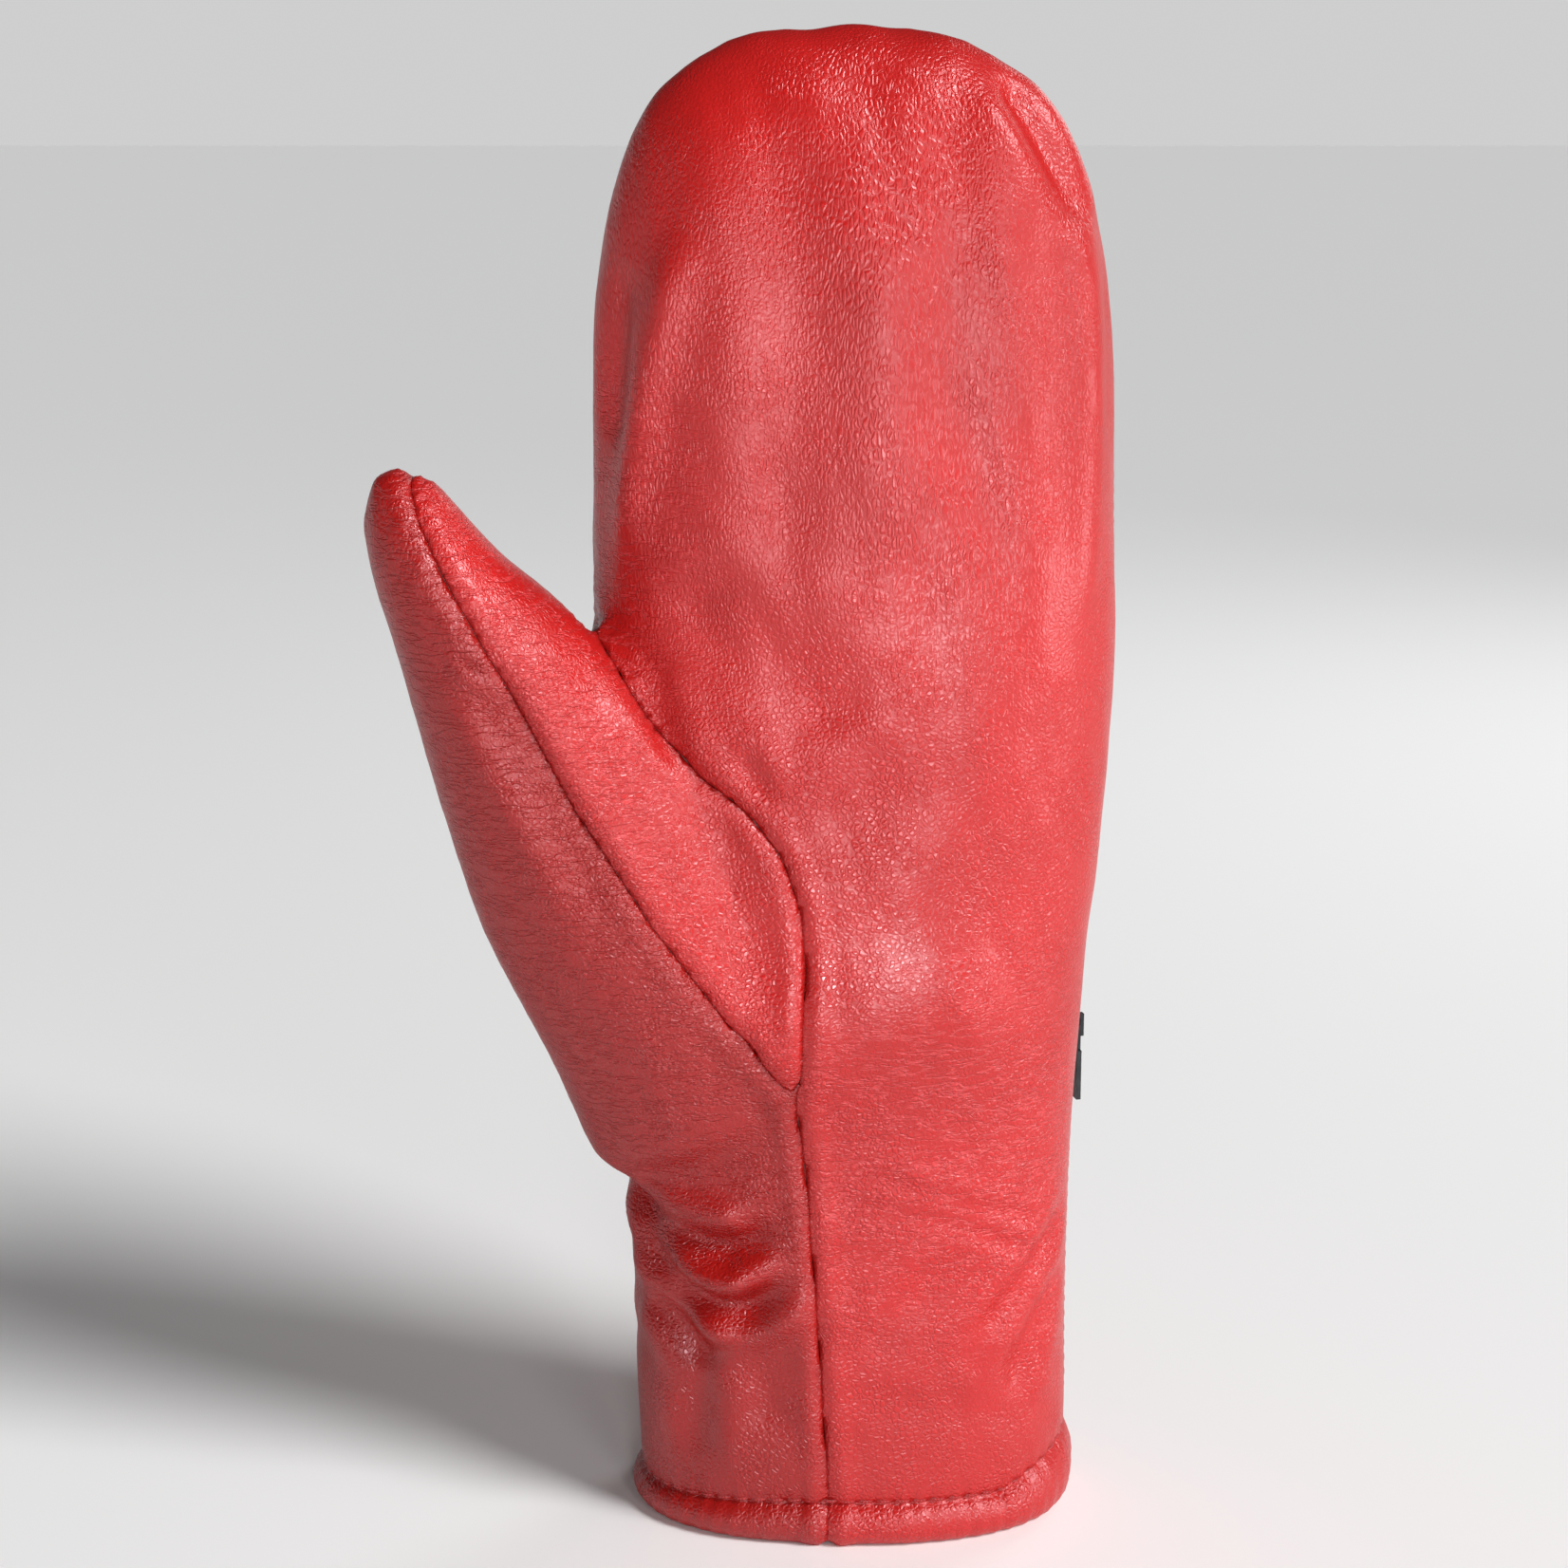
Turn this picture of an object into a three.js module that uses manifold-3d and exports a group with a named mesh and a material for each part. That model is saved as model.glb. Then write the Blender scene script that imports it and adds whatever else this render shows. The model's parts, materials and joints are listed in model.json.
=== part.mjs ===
// A red leather ski mitten for the left hand, standing on its cuff with the fingers up.
// Millimetres. +Z runs from the cuff to the fingertips, the palm faces -Y and the thumb points to -X.
// The mitten is three bags inside each other: the leather shell, the insulation and the pile lining.
// Each bag is a hand form joined to a thumb form, hollowed by a smaller copy of itself and cut into panels
// along its seams. The end of the thumb is a part of its own past the thumb's knuckle, and it swings over
// the palm. A zip on the little-finger side closes a pocket for a hand warmer.
import * as THREE from "three";
import { mergeVertices } from "three/addons/utils/BufferGeometryUtils.js";
import Module from "manifold-3d";

const wasm = await Module();
wasm.setup();

// ---- Driving dimensions ----
const height = 291;
const gap = 0.3; // between pieces that touch
const origin = { x: 1.3, y: -4.8 }; // middle of the whole mitten, in the frame of the outlines below

// Depths of the three bags under the outer face, for the hand and for the thumb.
const handLayers = { leather: [0, 1.2], insulation: [1.5, 6.1], lining: [6.4, 9.4] };
const thumbLayers = { leather: [0, 1.2], insulation: [1.5, 3.7], lining: [4, 6.2] };

const hemHeight = 11; // the turned hem, double leather
const hemThickness = 2.6;
const insulationStart = 72;
const liningStart = 72.3; // the pile lining meets the smooth lining of the cuff here
const cuffLiningStart = 4;
const sideSeamY = 5.5; // the seam between palm and back, just behind the outline
const thumbSeamY = -9; // the same seam on the thumb, which stands forward of the palm
const knuckleX = -36; // the thumb folds at this upright plane
const knuckleGap = 0.5;
const zipAngle = THREE.MathUtils.degToRad(14); // which way the zip faces, from +X towards the back

// ---- Outlines ----
// The hand at each height: left edge, right edge, depth of the palm and depth of the back.
const handStations = [
  { z: -30, left: -20.8, right: 66.2, palm: 28.2, back: 26.6 },
  { z: 12, left: -21.2, right: 66.1, palm: 28.2, back: 26.6 },
  { z: 48, left: -22.0, right: 65.6, palm: 28, back: 26.4 },
  { z: 80, left: -23.0, right: 66.2, palm: 28.5, back: 26.2 },
  { z: 110, left: -25.0, right: 68.0, palm: 30, back: 26.5 },
  { z: 150, left: -27.0, right: 71.2, palm: 30, back: 26 },
  { z: 190, left: -28.0, right: 72.4, palm: 28.5, back: 24 },
  { z: 215, left: -27.6, right: 71.4, palm: 28, back: 21.5 },
];
const domeStart = 215;
const domeFullness = 2.8; // how square the fingertips look from the front
const fingertip = { x: 19.5, y: -6 };
const sectionFullness = 2.3; // 2 is an ellipse, more is squarer

// The thumb along its middle: place, half width across the palm and half thickness.
const thumbStations = [
  { at: [8, -6, 86.5], width: 22, depth: 20 },
  { at: [-8, -9, 107.5], width: 27, depth: 22 },
  { at: [-23.5, -13, 136.5], width: 25.5, depth: 20.5 },
  { at: [-42.9, -17, 174], width: 20.5, depth: 17.5 },
  { at: [-54.4, -20, 194.5], width: 15.2, depth: 14 },
  { at: [-61, -21, 206.5], width: 13, depth: 12 },
  { at: [-62.6, -21, 213.5], width: 12, depth: 11 },
];
const thumbRounding = 0.84; // where the thumb starts to close, as a share of its length

// Seams of the palm side, as seen from the front: [x, z].
const seamMeeting = [10.7, 92];
const thumbTopSeam = [[-60, 214], [-52.8, 193], [-42.9, 174.7], [-29.4, 148.8], [-15.5, 127], [-3.2, 109.4]];
const thumbRootSeam = [[-6.6, 155], [2.2, 148], [8.3, 140], [11.9, 130], [13.3, 119], [12.8, 108]];
const cuffSeam = [[12.8, 75.7], [15.1, 46.6], [17.2, 9], [16.6, -5]];

// ---- Materials ----
const finish = (colour, roughness, metalness = 0) =>
  new THREE.MeshStandardMaterial({ color: colour, roughness, metalness });
const materials = {
  leather: finish(0xb3201f, 0.45),
  insulation: finish(0xe9e6dc, 0.95),
  lining: finish(0xd8cfc0, 1),
  cuffLining: finish(0x26262a, 0.8),
  elastic: finish(0x202020, 0.8),
  hemTape: finish(0x3a1010, 0.9),
  thread: finish(0x9c1a1a, 0.7),
  zipTape: finish(0x17171a, 0.9),
  zipTeeth: finish(0x1d1d20, 0.5),
  zipMetal: finish(0x2c2c30, 0.35, 0.8),
  pocket: finish(0x2a2a2e, 0.95),
  label: finish(0xdedede, 0.8),
};

// ---- Solids ----
// A closed geometry as a manifold-3d solid.
function solid(geometry) {
  const g = geometry.clone();
  g.deleteAttribute("normal");
  g.deleteAttribute("uv");
  const merged = mergeVertices(g, 1e-4);
  const mesh = new wasm.Mesh({
    numProp: 3,
    vertProperties: new Float32Array(merged.attributes.position.array),
    triVerts: new Uint32Array(merged.index.array),
  });
  return new wasm.Manifold(mesh);
}

// The largest body of a solid, as a three.js mesh. Cuts beside a seam can leave crumbs, which are dropped.
function piece(name, shape, material) {
  const bodies = shape.decompose().sort((a, b) => b.volume() - a.volume());
  const { numProp, vertProperties, triVerts } = bodies[0].getMesh();
  const position = new Float32Array((vertProperties.length / numProp) * 3);
  for (let i = 0; i < position.length / 3; i++) {
    position.set(vertProperties.subarray(i * numProp, i * numProp + 3), i * 3);
  }
  const geometry = new THREE.BufferGeometry();
  geometry.setAttribute("position", new THREE.BufferAttribute(position, 3));
  geometry.setIndex(new THREE.BufferAttribute(triVerts, 1));
  geometry.computeVertexNormals();
  const mesh = new THREE.Mesh(geometry, material);
  mesh.name = name;
  return mesh;
}

function box(x0, x1, y0, y1, z0, z1) {
  const geometry = new THREE.BoxGeometry(x1 - x0, y1 - y0, z1 - z0);
  geometry.translate((x0 + x1) / 2, (y0 + y1) / 2, (z0 + z1) / 2);
  return solid(geometry);
}

// A box that reaches past the mitten everywhere except where it is told to stop.
function region({ x0 = -150, x1 = 150, y0 = -100, y1 = 100, z0 = -60, z1 = 350 }) {
  return box(x0, x1, y0, y1, z0, z1);
}

// An outline in X and Z, made solid from front to back.
function prism(outline, y0, y1) {
  const shape = new THREE.Shape(outline.map(([x, z]) => new THREE.Vector2(x, z)));
  const geometry = new THREE.ExtrudeGeometry(shape, { depth: y1 - y0, bevelEnabled: false });
  geometry.rotateX(Math.PI / 2);
  geometry.translate(0, y1, 0);
  return solid(geometry);
}

// A sphere whose rings become sections: place(angle, ring, rings) gives each point, and the two poles close the ends.
function loft(segments, rings, place) {
  const geometry = new THREE.SphereGeometry(1, segments, rings);
  const position = geometry.getAttribute("position");
  const columns = segments + 1;
  for (let i = 0; i < position.count; i++) {
    const ring = rings - Math.floor(i / columns); // ring 0 is the lower pole
    const angle = ((i % columns) % segments) * ((2 * Math.PI) / segments);
    position.setXYZ(i, ...place(angle, ring, rings).toArray());
  }
  return solid(geometry);
}

// A smooth track through a few stations, as a function of one variable.
function track(stations, key, names) {
  const at = stations.map(key);
  const values = stations.flatMap((s) => names.map((n) => s[n]));
  const curve = new THREE.CubicInterpolant(at, values, names.length);
  return (t) => Object.fromEntries([...curve.evaluate(t)].map((v, i) => [names[i], v]));
}

const power = (v, fullness) => Math.sign(v) * Math.abs(v) ** (2 / fullness);
const handAt = track(handStations, (s) => s.z, ["left", "right", "palm", "back"]);

// A point on the hand form, at a depth under its outer face.
function handPoint(angle, z, depth) {
  const rise = Math.max(0, (z - domeStart) / (height - depth - domeStart));
  const s = handAt(Math.min(z, domeStart));
  const across = (1 - Math.min(1, rise) ** domeFullness) ** (1 / domeFullness);
  const through = Math.sqrt(1 - Math.min(1, rise) ** 2);
  const middle = THREE.MathUtils.lerp((s.left + s.right) / 2, fingertip.x, rise * rise);
  const forward = fingertip.y * rise * rise;
  const halfWidth = (s.right - s.left) / 2 - depth;
  const side = power(Math.sin(angle), sectionFullness);
  const halfDepth = (side < 0 ? s.palm : s.back) - depth;
  return new THREE.Vector3(
    middle + halfWidth * across * power(Math.cos(angle), sectionFullness),
    forward + halfDepth * through * side,
    z,
  );
}

const handSegments = 22;
const domeRings = 6;

// The hand form, from well below the cuff to the fingertips. A ring at each station keeps the layers nested.
function handForm(depth) {
  const straightRings = handStations.length;
  return loft(handSegments, straightRings + domeRings, (angle, ring) => {
    if (ring === 0) {
      const { z } = handStations[0];
      return handPoint(0, z, depth).add(handPoint(Math.PI, z, depth)).multiplyScalar(0.5);
    }
    if (ring <= straightRings) return handPoint(angle, handStations[ring - 1].z, depth);
    const turn = ((ring - straightRings) / domeRings) * (Math.PI / 2);
    return handPoint(angle, domeStart + (height - depth - domeStart) * Math.sin(turn), depth);
  });
}

const thumbCurve = new THREE.CatmullRomCurve3(thumbStations.map((s) => new THREE.Vector3(...s.at)));
const thumbLength = thumbCurve.getLength();
const thumbAt = track(thumbStations, (s, i) => i / (thumbStations.length - 1), ["width", "depth"]);

// The thumb form: elliptical sections across a curve that leaves the palm and leans forward.
function thumbForm(depth) {
  const rings = 10;
  const reach = 1 - depth / thumbLength;
  return loft(16, rings, (angle, ring) => {
    const share = THREE.MathUtils.clamp((ring - 1) / (rings - 1), 0, 1) ** 0.85 * reach;
    const t = thumbCurve.getUtoTmapping(Math.min(share, 1));
    const along = thumbCurve.getTangent(t);
    const past = Math.max(0, share - 1) * thumbLength + (ring <= 1 ? depth : 0);
    const middle = thumbCurve.getPoint(t).addScaledVector(along, past);
    const across = new THREE.Vector3(0, 1, 0).cross(along).normalize();
    const through = new THREE.Vector3().crossVectors(along, across);
    const closing = Math.max(0, (share / reach - thumbRounding) / (1 - thumbRounding));
    const round = ring === 0 || ring === rings ? 0 : Math.sqrt(1 - closing * closing);
    const size = thumbAt(t);
    return middle
      .addScaledVector(across, (size.width - depth) * round * Math.cos(angle))
      .addScaledVector(through, (size.depth - depth) * round * Math.sin(angle));
  });
}

// One bag: hand and thumb joined, hollowed and open at the cuff.
function bag(name, bottom) {
  const [handOut, handIn] = handLayers[name];
  const [thumbOut, thumbIn] = thumbLayers[name];
  const outside = handForm(handOut).add(thumbForm(thumbOut));
  const inside = handForm(handIn).add(thumbForm(thumbIn));
  return outside.subtract(inside).intersect(region({ z0: bottom }));
}

// A sheet that follows the hand form between two depths.
const handSheet = (outer, inner) => handForm(outer).subtract(handForm(inner));

// ---- Where the seams cut ----
// An outline with every side moved out by g.
function grown(outline, g) {
  const points = outline.map(([x, z]) => new THREE.Vector2(x, z));
  const turn = Math.sign(THREE.ShapeUtils.area(points));
  return points.map((p, i) => {
    const before = p.clone().sub(points.at(i - 1)).normalize();
    const after = points[(i + 1) % points.length].clone().sub(p).normalize();
    const corner = before.clone().add(after).multiplyScalar((turn * g) / (1 + before.dot(after)));
    return [p.x + corner.y, p.y - corner.x];
  });
}

// The palm side of the thumb, between its two seams. It grows by g on all sides.
function thumbPalmCut(g) {
  const top = [...thumbTopSeam].reverse();
  const front = grown([seamMeeting, ...top, [-60, 240], [60, 240], [60, 92]], g);
  const root = grown([seamMeeting, ...[...thumbRootSeam].reverse(), ...thumbTopSeam.slice(3)], g);
  return thumbForm(-g)
    .intersect(prism(front, -100, thumbSeamY + g))
    .add(prism(root, -100, thumbSeamY + g));
}

// The palm panel's side of the cuff seam, of the thumb and of the side seam.
function palmCut(g) {
  const left = [...cuffSeam].reverse();
  const outline = [...left, seamMeeting, [-15.5, 127], [-36, 150], [-36, 320], [120, 320], [120, -5]];
  return prism(grown(outline, g), -100, sideSeamY + g).subtract(thumbForm(g - gap));
}

const beyondKnuckle = region({ x1: knuckleX - knuckleGap / 2 });
const beforeKnuckle = region({ x0: knuckleX + knuckleGap / 2 });

// ---- Zip: its own frame has +X out of the leather, +Y towards the back and +Z up ----
const zip = {
  bottom: 24,
  top: 103,
  halfWindow: 5, // the slot in the leather
  halfTape: 12,
  pitch: 4,
  toothHeight: 1.1,
  sliderZ: 96.5,
  sliderHalf: 4.5,
};

// How far the outer face stands out, in the direction the zip faces.
function zipPlace() {
  const out = new THREE.Vector3(Math.cos(zipAngle), Math.sin(zipAngle), 0);
  let best = new THREE.Vector3(0, 0, 0);
  for (let i = 0; i < 360; i++) {
    const p = handPoint(THREE.MathUtils.degToRad(i / 4), 56, 0);
    if (p.dot(out) > best.dot(out)) best = p;
  }
  return best.setZ(0);
}
const zipFrame = new THREE.Matrix4().makeRotationZ(zipAngle).setPosition(zipPlace());

// A box in the zip's frame.
function zipBox(x0, x1, y0, y1, z0, z1) {
  const geometry = new THREE.BoxGeometry(x1 - x0, y1 - y0, z1 - z0);
  geometry.translate((x0 + x1) / 2, (y0 + y1) / 2, (z0 + z1) / 2);
  geometry.applyMatrix4(zipFrame);
  return solid(geometry);
}
const zipWindow = zipBox(-12, 12, -zip.halfWindow, zip.halfWindow, zip.bottom - 1, zip.top + 1);

// ---- Leather ----
function leatherPanels() {
  const [outer, inner] = handLayers.leather;
  const thumbInner = thumbForm(thumbLayers.leather[1]);
  const aboveHem = handForm(inner).intersect(region({ z0: hemHeight }));
  const shell = handForm(outer)
    .add(thumbForm(outer))
    .intersect(region({ z0: 0 }))
    .subtract(aboveHem.add(handForm(hemThickness)).add(thumbInner))
    .subtract(zipWindow);
  const thumbPalm = shell.intersect(thumbPalmCut(0));
  const rest = shell.subtract(thumbPalmCut(gap));
  const palm = rest.intersect(palmCut(0)).intersect(beforeKnuckle);
  const back = rest.subtract(palmCut(gap));
  return [
    piece("palm_panel", palm, materials.leather),
    piece("back_panel", back.intersect(beforeKnuckle), materials.leather),
    piece("thumb_palm_panel", thumbPalm.intersect(beforeKnuckle), materials.leather),
    piece("thumb_cap_palm", thumbPalm.intersect(beyondKnuckle), materials.leather),
    piece("thumb_cap_back", rest.subtract(palmCut(gap)).intersect(beyondKnuckle), materials.leather),
  ];
}

// ---- Insulation and lining: a palm half, a back half, a thumb sleeve and a thumb cap each ----
function innerPanels(name, bottom, material, spared) {
  const [handOut] = handLayers[name];
  const [thumbOut] = thumbLayers[name];
  const layer = bag(name, bottom).subtract(spared);
  const sleeve = layer.intersect(thumbForm(thumbOut)).subtract(handForm(handOut - gap));
  const hand = layer.intersect(handForm(handOut));
  return [
    piece(`palm_${name}`, hand.intersect(region({ y1: sideSeamY })), material),
    piece(`back_${name}`, hand.intersect(region({ y0: sideSeamY + gap })), material),
    piece(`thumb_${name}`, sleeve.intersect(beforeKnuckle), material),
    piece(`thumb_cap_${name}`, sleeve.intersect(beyondKnuckle), material),
  ];
}

// ---- Cuff ----
function cuffPieces() {
  const lining = handSheet(...handLayers.lining).intersect(region({ z0: cuffLiningStart, z1: liningStart - gap }));
  const elastic = handSheet(1.5, 2.3)
    .intersect(region({ z0: 50, z1: 58 }))
    .intersect(region({ x1: 13 }).add(region({ x1: 40, y0: 0 })));
  const hemTape = handSheet(hemThickness + gap, 3.5).intersect(region({ z0: 1.5, z1: 10 }));
  const facing = handSheet(3.8, 6.1).intersect(region({ z0: 0.8, z1: 17 }));
  const label = handSheet(9.7, 10.2).intersect(region({ x0: 10, x1: 34, y0: 5, z0: 20, z1: 36 }));
  return [
    piece("palm_cuff_lining", lining.intersect(region({ y1: sideSeamY })), materials.cuffLining),
    piece("back_cuff_lining", lining.intersect(region({ y0: sideSeamY + gap })), materials.cuffLining),
    piece("wrist_elastic", elastic, materials.elastic),
    piece("hem_tape", hemTape, materials.hemTape),
    piece("cuff_facing", facing, materials.lining),
    piece("size_label", label, materials.label),
    hemStitching(),
  ];
}

// The topstitch above the hem: one thread all the way round, just proud of the leather.
function hemStitching() {
  const threadRadius = 0.3;
  const stitchHeight = 13.5;
  const geometry = new THREE.TorusGeometry(1, threadRadius, 4, 44);
  const position = geometry.getAttribute("position");
  for (let i = 0; i < position.count; i++) {
    const v = new THREE.Vector3().fromBufferAttribute(position, i);
    const angle = Math.atan2(v.y, v.x);
    const outward = Math.hypot(v.x, v.y) - 1;
    const p = handPoint(angle, stitchHeight, -threadRadius - gap - outward);
    position.setXYZ(i, p.x, p.y, stitchHeight + v.z);
  }
  return piece("hem_stitching", solid(geometry), materials.thread);
}

// ---- Zip ----
const rail = { outer: -0.8, inner: -2.2, near: 1.5, far: 2.6, bottom: zip.bottom + 2, top: zip.top - 2.3 };
const tooth = { outer: -0.4, inner: -2.6, reach: 0.9 };
const tapeThickness = 0.6;

// One row of teeth on its cord. side is -1 for the palm and 1 for the back; the two rows mesh half a pitch apart.
function teethRow(name, side) {
  const across = (a, b) => (side < 0 ? [-b, -a] : [a, b]);
  let row = zipBox(rail.inner, rail.outer, ...across(rail.near, rail.far), rail.bottom, rail.top);
  const start = rail.bottom + 0.4 + (side < 0 ? 0 : zip.pitch / 2);
  for (let z = start; z + zip.toothHeight < rail.top - 0.2; z += zip.pitch) {
    const head = across(-tooth.reach, rail.near + 0.2);
    row = row.add(zipBox(tooth.inner, tooth.outer, ...head, z, z + zip.toothHeight));
  }
  return piece(name, row, materials.zipTeeth);
}

// One half of the tape. It lies flat beside the teeth and bends down under the edge of the leather.
function tape(name, side) {
  const face = [[-1.6, rail.far + gap], [-2.4, zip.halfWindow + gap], [-6, zip.halfTape]];
  const under = [...face].reverse().map(([x, y]) => [x - tapeThickness, y]);
  const outline = [...face, ...under].map(([x, y]) => new THREE.Vector2(x, side * y));
  const geometry = new THREE.ExtrudeGeometry(new THREE.Shape(outline), { depth: zip.top - zip.bottom + 6, bevelEnabled: false });
  geometry.translate(0, 0, zip.bottom - 3);
  geometry.applyMatrix4(zipFrame);
  return piece(name, solid(geometry), materials.zipTape);
}

function sliderPieces() {
  const { sliderZ: z, sliderHalf: half } = zip;
  const flange = (x0, x1, side) => zipBox(x0, x1, ...(side < 0 ? [-3.8, -3.1] : [3.1, 3.8]), z - half, z + half);
  const crown = zipBox(0.2, 1.4, -3.8, 3.8, z - half, z + half)
    .add(flange(-0.9, 0.4, -1))
    .add(flange(-0.9, 0.4, 1));
  const bail = zipBox(1.2, 3.6, -0.7, 0.7, z - 2.3, z + 2.3).subtract(zipBox(1.4, 2.9, -1, 1, z - 1.4, z + 1.4));
  const sole = zipBox(-3.7, -3, -3.8, 3.8, z - half, z + half)
    .add(flange(-3.2, -2.8, -1))
    .add(flange(-3.2, -2.8, 1));
  const pull = zipBox(1.65, 2.55, -1.9, 1.9, z - 0.45, z + 0.45)
    .add(zipBox(1.65, 2.55, -1.9, -1.1, z - 5, z))
    .add(zipBox(1.65, 2.55, 1.1, 1.9, z - 5, z))
    .add(zipBox(1.65, 2.55, -2.6, 2.6, z - 15, z - 4.8));
  return [
    piece("zip_slider_crown", crown.add(bail), materials.zipMetal),
    piece("zip_slider_sole", sole, materials.zipMetal),
    piece("zip_pull", pull, materials.zipMetal),
  ];
}

function zipPieces() {
  const stop = (y0, y1, z0, z1) => zipBox(-2.7, -0.3, y0, y1, z0, z1);
  const pocket = handSheet(5.6, 6.1).intersect(zipBox(-14, 6, -14, 14, zip.bottom - 2.4, zip.top + 5));
  return [
    tape("zip_tape_palm", -1),
    tape("zip_tape_back", 1),
    teethRow("zip_teeth_palm", -1),
    teethRow("zip_teeth_back", 1),
    piece("zip_top_stop_palm", stop(-2.6, -0.3, zip.top - 1.8, zip.top - 0.2), materials.zipMetal),
    piece("zip_top_stop_back", stop(0.3, 2.6, zip.top - 1.8, zip.top - 0.2), materials.zipMetal),
    piece("zip_bottom_stop", stop(-2.6, 2.6, zip.bottom, zip.bottom + 1.6), materials.zipMetal),
    piece("pocket_bag", pocket, materials.pocket),
    ...sliderPieces(),
  ];
}

// ---- Assembly ----
const pocketRoom = zipBox(-20, 6, -15, 15, zip.bottom - 4, zip.top + 6);
const nothing = box(200, 201, 200, 201, 200, 201);

const mitten = new THREE.Group();
mitten.add(
  ...leatherPanels(),
  ...innerPanels("insulation", insulationStart, materials.insulation, pocketRoom),
  ...innerPanels("lining", liningStart, materials.lining, nothing),
  ...cuffPieces(),
  ...zipPieces(),
);
mitten.position.set(-origin.x, -origin.y, 0);

export default mitten;
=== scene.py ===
# A red leather ski mitten, left hand, standing on its cuff with the palm to the front.
# Shape code works in millimetres in the frame's own axes; meshes are written in metres.
import json
import math
import bmesh
import bpy
import numpy as np
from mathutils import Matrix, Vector
from mathutils.bvhtree import BVHTree

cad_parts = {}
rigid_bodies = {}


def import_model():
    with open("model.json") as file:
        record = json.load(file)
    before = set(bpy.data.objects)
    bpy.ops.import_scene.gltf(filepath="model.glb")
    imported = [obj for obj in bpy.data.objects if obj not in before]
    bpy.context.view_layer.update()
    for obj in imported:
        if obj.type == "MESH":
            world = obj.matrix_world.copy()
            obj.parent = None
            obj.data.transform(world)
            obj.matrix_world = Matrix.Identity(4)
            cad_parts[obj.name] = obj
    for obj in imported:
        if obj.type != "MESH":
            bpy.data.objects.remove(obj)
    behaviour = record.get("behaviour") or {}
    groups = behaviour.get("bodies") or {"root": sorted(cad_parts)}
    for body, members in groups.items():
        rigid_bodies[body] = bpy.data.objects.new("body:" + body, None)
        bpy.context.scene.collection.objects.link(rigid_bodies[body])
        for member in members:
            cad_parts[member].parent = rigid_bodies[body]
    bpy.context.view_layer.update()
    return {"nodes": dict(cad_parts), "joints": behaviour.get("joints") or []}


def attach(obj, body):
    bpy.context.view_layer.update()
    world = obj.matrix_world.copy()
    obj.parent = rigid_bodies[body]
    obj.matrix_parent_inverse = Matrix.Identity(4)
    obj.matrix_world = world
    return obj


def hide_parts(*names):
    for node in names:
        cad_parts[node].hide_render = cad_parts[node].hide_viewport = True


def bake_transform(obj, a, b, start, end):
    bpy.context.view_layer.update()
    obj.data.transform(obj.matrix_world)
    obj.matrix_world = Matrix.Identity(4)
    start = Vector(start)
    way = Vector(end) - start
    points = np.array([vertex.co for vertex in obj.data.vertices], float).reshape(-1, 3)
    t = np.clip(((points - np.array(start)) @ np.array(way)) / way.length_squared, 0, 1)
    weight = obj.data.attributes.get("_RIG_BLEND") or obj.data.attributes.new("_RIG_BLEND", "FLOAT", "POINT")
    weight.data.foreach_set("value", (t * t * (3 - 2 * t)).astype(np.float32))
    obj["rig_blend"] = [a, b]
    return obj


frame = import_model()
mm = 0.001
joints = {joint["name"]: joint for joint in frame["joints"]}
print("frame loaded:", len(frame["nodes"]), "nodes")


def addPiece(name, mesh):
    piece = bpy.data.objects.new(name, mesh)
    bpy.context.scene.collection.objects.link(piece)
    return piece


def smoothFaces(mesh):
    mesh.polygons.foreach_set("use_smooth", [True] * len(mesh.polygons))


def pieceFromBmesh(name, bm):
    mesh = bpy.data.meshes.new(name)
    bm.to_mesh(mesh)
    bm.free()
    smoothFaces(mesh)
    return addPiece(name, mesh)


def settle(piece):  # leaves the piece with its modifiers worked in
    graph = bpy.context.evaluated_depsgraph_get()
    graph.update()
    worked = bpy.data.meshes.new_from_object(piece.evaluated_get(graph))
    piece.modifiers.clear()
    old = piece.data
    piece.data = worked
    bpy.data.meshes.remove(old)
    worked.name = piece.name
    smoothFaces(worked)


def readVectors(mesh, key):
    flat = np.empty(len(mesh.vertices) * 3)
    mesh.vertices.foreach_get(key, flat)
    return flat.reshape(-1, 3)


def readPoints(mesh):
    return readVectors(mesh, "co") / mm


def readNormals(mesh):
    return readVectors(mesh, "normal")


def writePoints(mesh, points):
    mesh.vertices.foreach_set("co", (points * mm).ravel())
    mesh.update()


def hermite(at, values, t):  # a smooth curve through a few stations
    slope = np.gradient(values, at, axis=0)
    i = np.clip(np.searchsorted(at, t) - 1, 0, len(at) - 2)
    step = at[i + 1] - at[i]
    u = np.clip((t - at[i]) / step, 0, 1)
    if values.ndim > 1:
        step, u = step[:, None], u[:, None]
    return ((2 * u ** 3 - 3 * u ** 2 + 1) * values[i] + (u ** 3 - 2 * u ** 2 + u) * step * slope[i]
            + (3 * u ** 2 - 2 * u ** 3) * values[i + 1] + (u ** 3 - u ** 2) * step * slope[i + 1])


def smoothStep(low, high, value):
    t = np.clip((value - low) / (high - low), 0, 1)
    return t * t * (3 - 2 * t)


def runAlong(points):  # how far along a route each of its points lies
    return np.r_[0, np.cumsum(np.linalg.norm(np.diff(points, axis=0), axis=1))]


def curveThrough(points, count=24):  # evenly spaced points along a smooth route
    points = np.array(points, float)
    along = np.arange(len(points), dtype=float)
    fine = hermite(along, points, np.linspace(0, along[-1], 160))
    length = runAlong(fine)
    at = np.linspace(0, length[-1], count)
    return np.stack([np.interp(at, length, fine[:, k]) for k in range(fine.shape[1])], 1)


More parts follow.
